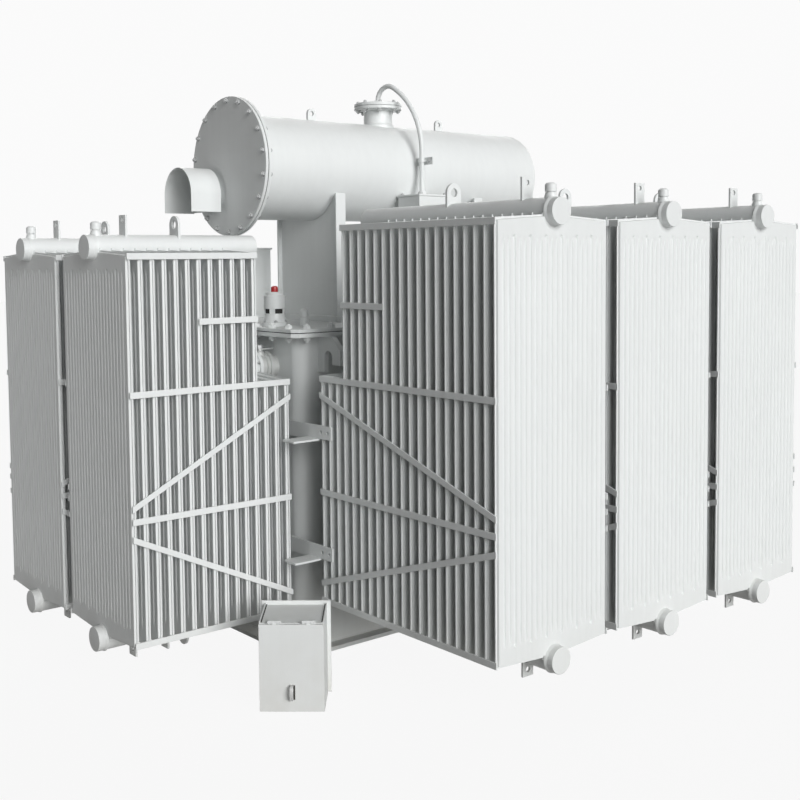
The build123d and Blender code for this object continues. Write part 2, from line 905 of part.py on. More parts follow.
hood_radius = hood_width / 2
hood_spring = hood_top - hood_radius
with BuildPart() as gauge_hood:
    with BuildSketch(Plane.YZ.offset(drum_near_x)):
        with Locations((gauge_y, hood_spring)):
            Circle(hood_radius)
        with Locations((gauge_y, (hood_bottom + hood_spring) / 2)):
            Rectangle(hood_width, hood_spring - hood_bottom)
        with Locations((gauge_y, hood_spring)):
            Circle(hood_radius - hood_sheet, mode=Mode.SUBTRACT)
        with Locations((gauge_y, hood_bottom + (hood_spring - hood_bottom) / 2 - hood_radius / 2)):
            Rectangle(
                hood_width - 2 * hood_sheet,
                hood_spring - hood_bottom + hood_radius,
                mode=Mode.SUBTRACT,
            )
        with Locations((gauge_y, hood_bottom - hood_radius / 2)):
            Rectangle(2 * hood_width, hood_radius, mode=Mode.SUBTRACT)
    extrude(amount=-hood_length)
    with Locations(Location((drum_near_x, 0, 0), (0, -90, 0))):
        Box(
            2 * drum_axis_z,
            2 * drum_flange_diameter,
            gauge_depth,
            align=(Align.MIN, Align.CENTER, Align.MIN),
            mode=Mode.SUBTRACT,
        )
    with BuildSketch(Plane.YZ.offset(drum_near_x - gauge_depth)):
        with Locations((gauge_y, hood_spring)):
            Circle(hood_radius)
        with Locations((gauge_y, (hood_bottom + hood_spring) / 2)):
            Rectangle(hood_width, hood_spring - hood_bottom)
        with Locations((gauge_y, hood_bottom - hood_radius / 2)):
            Rectangle(2 * hood_width, hood_radius, mode=Mode.SUBTRACT)
        with Locations((gauge_y, gauge_z)):
            Circle(gauge_face_diameter / 2 + curve_gap, mode=Mode.SUBTRACT)
    extrude(amount=-hood_sheet)

# Pressure relief valve and its indicator
relief_levels = (
    (relief_base_diameter, relief_base_height),
    (relief_neck_diameter, relief_neck_height),
    (relief_band_diameter, relief_band_height),
    (relief_neck_diameter, relief_cap_height),
)
relief_top = cover_top + sum(height for diameter, height in relief_levels)
with BuildPart() as pressure_relief_valve:
    stack = cover_top
    for diameter, height in relief_levels:
        with Locations((relief_x, relief_y, stack)):
            add(make_bar(diameter, height, pipe_sides))
        stack += height

with BuildPart() as relief_indicator:
    with Locations((relief_x, relief_y, relief_top)):
        add(make_bar(indicator_diameter, indicator_height, pipe_sides))
    chamfer(faces().sort_by(Axis.Z)[-1].edges(), indicator_diameter / 6)

with BuildPart() as thermometer_pocket:
    with Locations((pocket_x, pocket_y, cover_top)):
        add(make_bar(pocket_diameter, pocket_height, pipe_sides))
    chamfer(faces().sort_by(Axis.Z)[-1].edges(), pocket_diameter / 4)
    with BuildSketch(Plane.XY.offset(cover_top + pocket_height / 2)):
        with Locations((pocket_x, pocket_y)):
            RegularPolygon(pocket_diameter, pipe_sides)
            RegularPolygon(pocket_diameter / 2 - pocket_groove / 2, pipe_sides, mode=Mode.SUBTRACT)
    extrude(amount=pocket_groove, mode=Mode.SUBTRACT)

# Cable box at the back of the cover
with BuildPart() as cable_box:
    with Locations((cable_box_x, cable_box_front_y + cable_box_depth / 2, cover_top)):
        Box(
            cable_box_length - 2 * cable_box_lip,
            cable_box_depth - 2 * cable_box_lip,
            cable_box_height,
            align=(Align.CENTER, Align.CENTER, Align.MIN),
        )
    with Locations(
        (cable_box_x, cable_box_front_y + cable_box_depth / 2, cover_top + cable_box_height - cable_box_lid)
    ):
        Box(
            cable_box_length,
            cable_box_depth,
            cable_box_lid,
            align=(Align.CENTER, Align.CENTER, Align.MIN),
        )

# Oil pipe with the gas relay between the cover and the drum
with BuildPart() as gas_relay_pipe:
    with Locations((relay_x, 0, cover_top)):
        add(make_bar(relay_pipe_diameter, drum_axis_z - cover_top, pipe_sides))
        add(make_bar(relay_flange_diameter, relay_flange_thickness, pipe_sides))
    with Locations((relay_x, 0, relay_body_z)):
        Box(
            relay_body_width,
            relay_body_width,
            relay_body_height,
            align=(Align.CENTER, Align.CENTER, Align.MIN),
        )
    with Locations(
        (relay_x, 0, relay_body_z - relay_flange_thickness),
        (relay_x, 0, relay_body_z + relay_body_height),
    ):
        add(make_bar(relay_flange_diameter, relay_flange_thickness, pipe_sides))
    with Locations(Location((0, 0, drum_axis_z), along_x)):
        Cylinder(drum_radius + curve_gap, 2 * tank_length, mode=Mode.SUBTRACT)

# Terminal box, drawn with its front at y = 0 and then turned to its place
body_start = door_thickness + door_gap
roof_back = terminal_height - terminal_roof_drop
roof_front = roof_back - terminal_roof_slope
terminal_place = Location((*terminal_front, terminal_floor), (0, 0, terminal_turn))
inner_half = terminal_width / 2 - terminal_sheet
with BuildPart() as terminal_shape:
    with BuildSketch(Plane.YZ.offset(-terminal_width / 2)):
        with BuildLine():
            Polyline(
                (body_start, 0),
                (terminal_depth - back_thickness, 0),
                (terminal_depth - back_thickness, terminal_height),
                (body_start, terminal_height - terminal_roof_slope),
                close=True,
            )
        make_face()
    extrude(amount=terminal_width)
    with BuildSketch(Plane.YZ.offset(-inner_half)):
        with BuildLine():
            Polyline(
                (0, terminal_sheet),
                (terminal_depth - back_thickness - terminal_sheet, terminal_sheet),
                (terminal_depth - back_thickness - terminal_sheet, roof_back - terminal_sheet),
                (0, roof_front - terminal_sheet),
                close=True,
            )
        make_face()
        with BuildLine():
            Polyline(
                (0, roof_front),
                (terminal_depth - back_thickness, roof_back),
                (terminal_depth - back_thickness, 2 * terminal_height),
                (0, 2 * terminal_height),
                close=True,
            )
        make_face()
    extrude(amount=2 * inner_half, mode=Mode.SUBTRACT)
    with Locations((0, terminal_depth - back_thickness / 2, 0)):
        Box(
            back_width,
            back_thickness,
            back_height,
            align=(Align.CENTER, Align.CENTER, Align.MIN),
        )
    with GridLocations(hinge_pitch, 0, 2, 1):
        with GridLocations(2 * knuckle_pitch, 0, 2, 1):
            with Locations(Location((0, hinge_back, hinge_z), along_x)):
                Cylinder(hinge_radius, knuckle_length)
            with Locations((0, hinge_back, roof_front)):
                Box(
                    knuckle_length,
                    hinge_leaf,
                    hinge_z - roof_front,
                    align=(Align.CENTER, Align.MIN, Align.MIN),
                )

with BuildPart() as terminal_box:
    with Locations(terminal_place):
        add(terminal_shape.part)

# Door of the terminal box, hung from its top edge
with BuildPart() as door_shape:
    with Locations((0, door_thickness / 2, door_floor_gap)):
        Box(
            terminal_width,
            door_thickness,
            door_height,
            align=(Align.CENTER, Align.CENTER, Align.MIN),
        )
    with GridLocations(hinge_pitch, 0, 2, 1):
        with Locations(Location((0, hinge_back, hinge_z), along_x)):
            Cylinder(hinge_radius, knuckle_length)
        with Locations((0, hinge_back - hinge_radius, door_top)):
            Box(
                knuckle_length,
                hinge_radius,
                hinge_rise,
                align=(Align.CENTER, Align.MIN, Align.MIN),
            )
    with Locations((0, -handle_reach / 2, handle_z)):
        Box(handle_width, handle_reach, handle_height)
    with Locations((0, -handle_reach / 2 + handle_width / 2, handle_z)):
        Box(handle_width, handle_reach - handle_width, handle_height - 2 * handle_width, mode=Mode.SUBTRACT)

with BuildPart() as terminal_box_door:
    with Locations(terminal_place):
        add(door_shape.part)

# Carrier that holds the terminal box to the base plate
with BuildPart() as carrier_shape:
    with Locations((0, terminal_depth, base_thickness - terminal_floor)):
        Box(
            carrier_width,
            carrier_length,
            carrier_thickness,
            align=(Align.CENTER, Align.MIN, Align.MIN),
        )
    with BuildSketch(Plane.YZ.offset(-carrier_thickness / 2)):
        with BuildLine():
            Polyline(
                (terminal_depth, base_thickness - terminal_floor + carrier_thickness),
                (terminal_depth + carrier_length / 2, base_thickness - terminal_floor + carrier_thickness),
                (terminal_depth, base_thickness - terminal_floor + carrier_thickness + carrier_web),
                close=True,
            )
        make_face()
    extrude(amount=carrier_thickness)

with BuildPart() as terminal_box_carrier:
    with Locations(terminal_place):
        add(carrier_shape.part)
    with BuildSketch():
        RectangleRounded(
            tank_length + 2 * curve_gap,
            tank_width + 2 * curve_gap,
            tank_corner_radius + curve_gap,
        )
    extrude(amount=flange_underside, mode=Mode.SUBTRACT)

pieces = {
    "tank_body": tank_body,
    "tank_base_plate": tank_base_plate,
    "tank_flange": tank_flange,
    "cover_gasket": cover_gasket,
    "tank_cover": tank_cover,
    "tank_stiffeners": tank_stiffeners,
    "lifting_hooks": lifting_hooks,
    "radiator_arms": radiator_arms,
    **radiators,
    "upper_valves": upper_valves,
    "lower_valves": lower_valves,
    "conservator_shell": conservator_shell,
    "conservator_end_plate": conservator_end_plate,
    "conservator_far_end": conservator_far_end,
    "conservator_supports": conservator_supports,
    "lifting_eyes": lifting_eyes,
    "conservator_neck": conservator_neck,
    "neck_cover": neck_cover,
    "breather_pipe": breather_pipe,
    "breather_box": breather_box,
    "pipe_clamp": pipe_clamp,
    "oil_gauge": oil_gauge,
    "gauge_hood": gauge_hood,
    "pressure_relief_valve": pressure_relief_valve,
    "relief_indicator": relief_indicator,
    "thermometer_pocket": thermometer_pocket,
    "cable_box": cable_box,
    "gas_relay_pipe": gas_relay_pipe,
    "terminal_box": terminal_box,
    "terminal_box_door": terminal_box_door,
    "terminal_box_carrier": terminal_box_carrier,
}
for name, piece in pieces.items():
    piece.part.label = name
    export_step(piece.part, f"parts/{name}.step")
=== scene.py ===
import logging
import math
from dataclasses import dataclass
from enum import Enum

import bmesh
import bpy
from mathutils import Matrix, Vector


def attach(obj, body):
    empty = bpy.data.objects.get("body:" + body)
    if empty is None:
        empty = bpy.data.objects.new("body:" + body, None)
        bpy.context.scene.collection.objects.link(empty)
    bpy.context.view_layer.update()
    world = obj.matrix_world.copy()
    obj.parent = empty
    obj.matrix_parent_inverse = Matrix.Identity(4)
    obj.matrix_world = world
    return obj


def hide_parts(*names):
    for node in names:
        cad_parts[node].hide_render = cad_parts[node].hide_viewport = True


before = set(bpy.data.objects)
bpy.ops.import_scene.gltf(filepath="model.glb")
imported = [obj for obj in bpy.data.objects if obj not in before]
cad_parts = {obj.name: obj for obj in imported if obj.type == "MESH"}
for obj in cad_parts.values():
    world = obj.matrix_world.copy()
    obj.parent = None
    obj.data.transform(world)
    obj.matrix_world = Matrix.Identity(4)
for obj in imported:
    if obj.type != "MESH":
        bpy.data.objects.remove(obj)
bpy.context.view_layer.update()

LOG = logging.getLogger("power_transformer")
MAIN_BODY = "transformer"
DOOR_BODY = "terminal_box_door"
SHARP_ANGLE = 0.6
FLAT_ANGLE = 0.01
CREASE_ANGLE = math.radians(35)
STAY = Matrix.Identity(4)
FLIP = Matrix.Rotation(math.pi, 4, "X")
Outline = list[tuple[float, float]]
Triple = tuple[float, float, float]
Quad = tuple[float, float, float, float]


def shift(x: float, y: float, z: float) -> Matrix:
    """Give the matrix that moves a piece."""
    return Matrix.Translation((x, y, z))


def spin(degrees: float, axis: str) -> Matrix:
    """Give the matrix that turns a piece round an axis through the origin."""
    return Matrix.Rotation(math.radians(degrees), 4, axis)


def set_inputs(node: bpy.types.Node, values: dict[str, object]) -> None:
    """Set the constants on a node's own sockets."""
    for name, value in values.items():
        node.inputs[name].default_value = value


def add_object(name: str, data: bpy.types.ID) -> bpy.types.Object:
    """Make an object of its data and put it in the scene."""
    made = bpy.data.objects.new(name, data)
    bpy.context.scene.collection.objects.link(made)
    return made


class Axis(Enum):
    """Direction that a turned or bored piece points in."""

    X = spin(90, "Y")
    Y = spin(-90, "X")
    Z = STAY

    def at(self, x: float, y: float, z: float) -> Matrix:
        """Give the placing matrix for this direction at a point."""
        return shift(x, y, z) @ self.value


@dataclass(frozen=True)
class Finish:
    """Painted, zinc, steel, rubber or plastic surface.

    Args:
        name: Name of the material.
        slot: Slot of the record that the finish belongs to; not used.
        colour: Linear base colour.
        dust_and_bounce_colour: Linear colour of the dust on flat tops and of the painted warm floor bounce
            light.
        roughness: Middle roughness of the surface.
        mottle: Strength of the cloudy tone differences.
        dust_and_bounce: Strength of the painted warm floor bounce light near the floor and of the dust on
            flat tops.
        peel: Strength of the fine paint texture.
        coat: Weight of the clear top layer.
        metallic: Share of bare metal.
    """

    name: str
    slot: str
    colour: Triple
    dust_and_bounce_colour: Triple = (0.46, 0.43, 0.36)
    roughness: float = 0.34
    mottle: float = 0.06
    dust_and_bounce: float = 0.30
    peel: float = 0.05
    coat: float = 0.0
    metallic: float = 0.0

    def material(self) -> bpy.types.Material:
        """Make the material, or find it if it is there already.

        Returns:
            The node material of this finish.
        """
        known = bpy.data.materials.get(self.name)
        if known is not None:
            return known
        made = bpy.data.materials.new(self.name)
        made.use_nodes = True
        nodes, links = made.node_tree.nodes, made.node_tree.links
        shader = nodes["Principled BSDF"]
        set_inputs(shader, {"Metallic": self.metallic, "Coat Weight": self.coat, "Coat Roughness": 0.12})
        group = nodes.new("ShaderNodeGroup")
        group.node_tree = weathered_surface()
        # The beige colour stands for dust on flat tops and for painted warm bounce light from the floor,
        # low down.
        set_inputs(group, {"Colour": (*self.colour, 1.0), "Dust_And_Bounce_Colour": (*self.dust_and_bounce_colour, 1.0)})
        set_inputs(group, {"Roughness": self.roughness, "Mottle": self.mottle, "Dust_And_Bounce": self.dust_and_bounce})
        bump = nodes.new("ShaderNodeBump")
        set_inputs(bump, {"Strength": self.peel, "Distance": 0.0006})
        links.new(group.outputs["Colour"], shader.inputs["Base Color"])
        links.new(group.outputs["Roughness"], shader.inputs["Roughness"])
        links.new(group.outputs["Height"], bump.inputs["Height"])
        links.new(bump.outputs["Normal"], shader.inputs["Normal"])
        return made


class Finishes:
    """The finishes of the transformer."""

    PAINT = Finish("grey_white_paint", "paint", (0.764, 0.784, 0.780), roughness=0.42)
    VALVE = Finish("valve_paint", "valve_paint", (0.66, 0.69, 0.70), roughness=0.5, mottle=0.09)
    ZINC = Finish("zinc_bolts", "paint", (0.50, 0.51, 0.51), roughness=0.34, mottle=0.10, metallic=0.55)
    RUBBER = Finish("black_gasket", "gasket", (0.022, 0.022, 0.021), roughness=0.75, dust_and_bounce=0.12)
    RED = Finish("red_indicator", "red_plastic", (0.46, 0.020, 0.022), roughness=0.30, dust_and_bounce=0.05, coat=0.3)
    BLACK = Finish("gauge_black", "gauge_black", (0.030, 0.031, 0.032), roughness=0.4, dust_and_bounce=0.08)
    DIAL = Finish("dial_white", "gauge_black", (0.78, 0.78, 0.75), roughness=0.35, dust_and_bounce=0.04)
    STEEL = Finish("bright_steel", "paint", (0.50, 0.50, 0.50), roughness=0.28, mottle=0.12, metallic=0.9)


def weathered_surface() -> bpy.types.NodeTree:
    """Build the shared group for tone clouds, run marks, dust on flat tops, painted warm floor bounce light
    and paint texture.

    Returns:
        The shader node group, built once.
    """
    known = bpy.data.node_groups.get("weathered_surface")
    if known is not None:
        return known
    tree = bpy.data.node_groups.new("weathered_surface", "ShaderNodeTree")
    face = tree.interface
    colours = ("Colour", "Dust_And_Bounce_Colour")
    for way, names in (
        ("INPUT", ("Colour", "Dust_And_Bounce_Colour", "Roughness", "Mottle", "Dust_And_Bounce")),
        ("OUTPUT", ("Colour", "Roughness", "Height")),
    ):
        for name in names:
            kind = "NodeSocketColor" if name in colours else "NodeSocketFloat"
            face.new_socket(name, in_out=way, socket_type=kind)
    nodes, links = tree.nodes, tree.links
    into = nodes.new("NodeGroupInput")
    out = nodes.new("NodeGroupOutput")
    place = nodes.new("ShaderNodeTexCoord")

    def noise(scale: float, detail: float, stretch: Triple) -> bpy.types.NodeSocket:
        """Add a noise texture on stretched object coordinates."""
        mapping = nodes.new("ShaderNodeMapping")
        mapping.inputs["Scale"].default_value = stretch
        texture = nodes.new("ShaderNodeTexNoise")
        set_inputs(texture, {"Scale": scale, "Detail": detail})
        links.new(place.outputs["Object"], mapping.inputs["Vector"])
        links.new(mapping.outputs["Vector"], texture.inputs["Vector"])
        return texture.outputs["Fac"]

    def compute(kind: str, first: object, second: object) -> bpy.types.NodeSocket:
        """Add a math node and wire or set its two inputs."""
        node = nodes.new("ShaderNodeMath")
        node.operation = kind
        for socket, value in zip(node.inputs, (first, second)):
            if isinstance(value, (int, float)):
                socket.default_value = value
            else:
                links.new(value, socket)
        return node.outputs[0]

    # The low band is painted warm bounce light from the floor; the part on upward faces is dust.
    floor_bounce_height, level_face, dust_and_bounce_gain, rough_swing = 0.55, 0.55, 1.6, 0.22
    even = (1.0, 1.0, 1.0)
    clouds = noise(2.3, 5.0, even)
    runs = noise(6.0, 3.0, (6.0, 6.0, 0.35))
    grain = noise(420.0, 2.0, even)
    patch = noise(11.0, 6.0, even)
    tone = compute("ADD", clouds, runs)
    tone = compute("SUBTRACT", tone, 1.0)
    tone = compute("MULTIPLY", tone, into.outputs["Mottle"])
    tone = compute("ADD", tone, 1.0)
    shade = nodes.new("ShaderNodeMix")
    shade.data_type = "RGBA"
    shade.blend_type = "MULTIPLY"
    shade.inputs["Factor"].default_value = 1.0
    grey = nodes.new("ShaderNodeCombineColor")
    for socket in grey.inputs[:3]:
        links.new(tone, socket)
    links.new(into.outputs["Colour"], shade.inputs["A"])
    links.new(grey.outputs["Color"], shade.inputs["B"])
    split = nodes.new("ShaderNodeSeparateXYZ")
    links.new(place.outputs["Object"], split.inputs["Vector"])
    # Painted warm floor bounce light: strongest at the floor, gone at the given height.
    low = nodes.new("ShaderNodeMapRange")
    set_inputs(low, {"From Min": 0.0, "From Max": floor_bounce_height, "To Min": 1.0, "To Max": 0.0})
    links.new(split.outputs["Z"], low.inputs["Value"])
    facing = nodes.new("ShaderNodeNewGeometry")
    normal = nodes.new("ShaderNodeSeparateXYZ")
    links.new(facing.outputs["Normal"], normal.inputs["Vector"])
    up = compute("SUBTRACT", normal.outputs["Z"], level_face)
    up = compute("MULTIPLY", up, 0.9)
    up = compute("MAXIMUM", up, 0.0)
    dust_and_bounce_mask = compute("MULTIPLY", low.outputs["Result"], low.outputs["Result"])
    dust_and_bounce_mask = compute("ADD", dust_and_bounce_mask, up)
    dust_and_bounce_mask = compute("MULTIPLY", dust_and_bounce_mask, patch)
    dust_and_bounce_mask = compute("MULTIPLY", dust_and_bounce_mask, into.outputs["Dust_And_Bounce"])
    dust_and_bounce_mask = compute("MULTIPLY", dust_and_bounce_mask, dust_and_bounce_gain)
    # Lays the beige colour over the paint where the painted floor bounce light and the top dust fall.
    coat = nodes.new("ShaderNodeMix")
    coat.data_type = "RGBA"
    links.new(dust_and_bounce_mask, coat.inputs["Factor"])
    links.new(shade.outputs["Result"], coat.inputs["A"])
    links.new(into.outputs["Dust_And_Bounce_Colour"], coat.inputs["B"])
    rough = compute("SUBTRACT", patch, 0.5)
    rough = compute("MULTIPLY", rough, rough_swing)
    rough = compute("ADD", rough, into.outputs["Roughness"])
    rough = compute("ADD", rough, dust_and_bounce_mask)
    links.new(coat.outputs["Result"], out.inputs["Colour"])
    links.new(rough, out.inputs["Roughness"])
    links.new(grain, out.inputs["Height"])
    return tree


def ring_points(radius: float, count: int, centre: tuple[float, float] = (0.0, 0.0)) -> Outline:
    """Give the corners of a circle.

    Args:
        radius: Radius of the circle.
        count: Number of corners.
        centre: Middle of the circle.

    Returns:
        The corners in order.
    """
    steps = [2 * math.pi * k / count for k in range(count)]
    return [(centre[0] + radius * math.cos(a), centre[1] + radius * math.sin(a)) for a in steps]


class Shape:
    """Gathers the meshes of one piece before it becomes an object."""

    def __init__(self) -> None:
        """Start with an empty mesh."""
        self.mesh = bmesh.new()

    def add(self, part: bmesh.types.BMesh, place: Matrix, bevel: float = 0.0) -> None:
        """Soften a part's sharp edges, place it and take it in.

        Args:
            part: Mesh in its own frame, used up by this call.
            place: Matrix that puts it in its place.
            bevel: Width of the softened edges, or 0.
        """
        bmesh.ops.recalc_face_normals(part, faces=part.faces[:])
        for face in part.faces:
            face.smooth = any(FLAT_ANGLE < edge.calc_face_angle(0.0) < SHARP_ANGLE for edge in face.edges)
        if bevel:
            inner = [edge for edge in part.edges if len(edge.link_faces) == 2]
            sharp = [edge for edge in inner if edge.calc_face_angle(0.0) > SHARP_ANGLE]
            made = bmesh.ops.bevel(
                part, geom=sharp, offset=bevel, segments=2, profile=0.6, affect="EDGES", clamp_overlap=True
            )
            for face in made["faces"]:
                face.smooth = True
        part.transform(place)
        loose = bpy.data.meshes.new("loose_part")
        part.to_mesh(loose)
        part.free()
        self.mesh.from_mesh(loose)
        bpy.data.meshes.remove(loose)

    def lathe(self, profile: Outline, place: Matrix, segments: int = 48) -> None:
        """Turn a profile of radius and height pairs round the local Z axis.

        Args:
            profile: Radius and height of each step, first to last.
            place: Matrix that puts the turned part in its place.
            segments: Number of steps round the axis.
        """
        part = bmesh.new()
        rings = []
        for radius, height in profile:
            if radius < 1e-6:
                rings.append([part.verts.new((0.0, 0.0, height))])
                continue
            rings.append([part.verts.new((x, y, height)) for x, y in ring_points(radius, segments)])
        for low, high in zip(rings, rings[1:]):
            for k in range(segments):
                n = (k + 1) % segments
                corners = [low[k % len(low)], low[n % len(low)], high[n % len(high)], high[k % len(high)]]
                part.faces.new(list(dict.fromkeys(corners)))
        self.add(part, place)

    def prism(
        self,
        outline: Outline,
        depth: float,
        place: Matrix,
        bevel: float = 0.0,
        holes: tuple[Outline, ...] = (),
    ) -> None:
        """Extrude a flat outline, with holes if it has any, centred on its depth.

        Args:
            outline: Corners of the outline in the local XY plane.
            depth: Thickness along the local Z axis.
            place: Matrix that puts the plate in its place.
            bevel: Width of the softened edges, or 0.
            holes: Corners of each hole.
        """
        part = bmesh.new()
        edges = []
        for loop in (outline, *holes):
            points = [part.verts.new((x, y, -depth / 2)) for x, y in loop]
            edges += [part.edges.new((a, b)) for a, b in zip(points, points[1:] + points[:1])]
        bmesh.ops.triangle_fill(part, use_beauty=True, use_dissolve=True, edges=edges)
        raised = bmesh.ops.extrude_face_region(part, geom=part.faces[:])["geom"]
        tops = [v for v in raised if isinstance(v, bmesh.types.BMVert)]
        bmesh.ops.translate(part, vec=(0.0, 0.0, depth), verts=tops)
        self.add(part, place, bevel)

    def block(self, size: Triple, place: Matrix, bevel: float = 0.0015) -> None:
        """Add a block centred on its place, with softened edges."""
        part = bmesh.new()
        bmesh.ops.create_cube(part, size=1.0, matrix=Matrix.Diagonal((*size, 1.0)))
        self.add(part, place, bevel)

    def bolt(self, place: Matrix, size: float) -> None:
        """Add a washer, a hexagon head and a thread end, pointing along local Z.

        Args:
            place: Matrix with its Z axis out of the surface.
            size: Thread diameter.
        """
        washer, thin, flats, core = 1.1 * size, 0.14 * size, 0.95 * size, 0.45 * size
        self.lathe([(0, 0), (washer, 0), (washer, thin), (0, thin)], place, 14)
        top = 0.85 * size
        self.lathe([(flats, thin), (flats, 0.72 * size), (0.80 * flats, top), (0, top)], place, 6)
        self.lathe([(core, 0.8 * size), (core, 1.2 * size), (0, 1.25 * size)], place, 10)

    def bolt_ring(self, place: Matrix, circle: float, count: int, size: float, start: float = 0.0) -> None:
        """Add bolts on a circle round the local Z axis of a place."""
        for k in range(count):
            angle = start + 2 * math.pi * k / count
            step = shift(circle * math.cos(angle), circle * math.sin(angle), 0.0)
            self.bolt(place @ step, size)

    def weld(self, points: list[Vector], radius: float) -> None:
        """Add a weld bead along a line of points, slightly rippled.

        Args:
            points: Points along the seam.
            radius: Radius of the bead.
        """
        part = bmesh.new()
        rings, sides = [], 6
        for k, point in enumerate(points):
            along = points[min(k + 1, len(points) - 1)] - points[max(k - 1, 0)]
            turn = along.to_track_quat("Z", "Y").to_matrix()
            size = radius * (1.0 + 0.12 * (k % 2))
            around = [turn @ Vector((x, y, 0)) for x, y in ring_points(size, sides)]
            rings.append([part.verts.new(point + spoke) for spoke in around])
        for low, high in zip(rings, rings[1:]):
            for k in range(sides):
                n = (k + 1) % sides
                part.faces.new([low[k], low[n], high[n], high[k]])
        self.add(part, STAY)

    def node(self, name: str, bevel: float = 0.0014) -> None:
        """Take in a copy of a CAD node with its sharp edges softened.

        Args:
            name: Name of the CAD node.
            bevel: Width of the softened edges.
        """
        part = bmesh.new()
        part.from_mesh(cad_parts[name].data)
        bmesh.ops.remove_doubles(part, verts=part.verts[:], dist=2e-6)
        bmesh.ops.dissolve_limit(
            part, angle_limit=math.radians(0.6), verts=part.verts[:], edges=part.edges[:]
        )
        self.add(part, STAY, bevel)

    def finish(self, name: str, finish: Finish, nodes: tuple[str, ...] = (), body: str = MAIN_BODY) -> None:
        """Turn the gathered mesh into an object that rides on a body.

        Args:
            name: Name of the new piece.
            finish: Finish of its surface.
            nodes: CAD nodes that it stands for.
            body: Body that it moves with.
        """
        mesh = bpy.data.meshes.new(name)
        self.mesh.to_mesh(mesh)
        self.mesh.free()
        mesh.set_sharp_from_angle(angle=CREASE_ANGLE)
        mesh.materials.append(finish.material())
        made = add_object(name, mesh)
        even = made.modifiers.new("even_shading", "WEIGHTED_NORMAL")
        even.keep_sharp = True
        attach(made, body)
        if nodes:
            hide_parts(*nodes)
        LOG.info("%s: %d faces", name, len(mesh.polygons))


def soften(node: str, piece: str, bevel: float, finish: Finish = Finishes.PAINT) -> None:
    """Make a piece that is a CAD node with softened edges.

    Args:
        node: Name of the CAD node.
        piece: Name of the new piece.
        bevel: Width of the softened edges.
        finish: Finish of its surface.
    """
    shape = Shape()
    shape.node(node, bevel)
    shape.finish(piece, finish, (node,))


def turned(name: str, finish: Finish, profile: Outline, place: Matrix, segments: int, *nodes: str) -> None:
    """Make a piece that is a single turned profile.

    Args:
        name: Name of the new piece.
        finish: Finish of its surface.
        profile: Radius and height of each step.
        place: Matrix that puts it in its place.
        segments: Number of steps round the axis.
        nodes: CAD nodes that it stands for.
    """
    shape = Shape()
    shape.lathe(profile, place, segments)
    shape.finish(name, finish, nodes)


def rounded_outline(width: float, height: float, radius: float, steps: int = 10) -> Outline:
    """Give the corners of a rectangle with round corners, centred on the origin.

    Args:
        width: Size along X.
        height: Size along Y.
        radius: Radius of the corners.
        steps: Number of steps in each corner.

    Returns:
        The corners in order.
    """
    points = []
    for quarter, (sx, sy) in enumerate(((1, 1), (-1, 1), (-1, -1), (1, -1))):
        cx, cy = sx * (width / 2 - radius), sy * (height / 2 - radius)
        for k in range(steps + 1):
            angle = math.pi / 2 * (quarter + k / steps)
            points.append((cx + radius * math.cos(angle), cy + radius * math.sin(angle)))
    return points


def arch_outline(width: float, height: float, steps: int = 14) -> Outline:
    """Give a plate outline that stands on y = 0 and has a half-round top."""
    r = width / 2
    angles = [math.pi * k / steps for k in range(steps + 1)]
    return [(-r, 0.0), (r, 0.0), *((r * math.cos(a), height - r + r * math.sin(a)) for a in angles)]


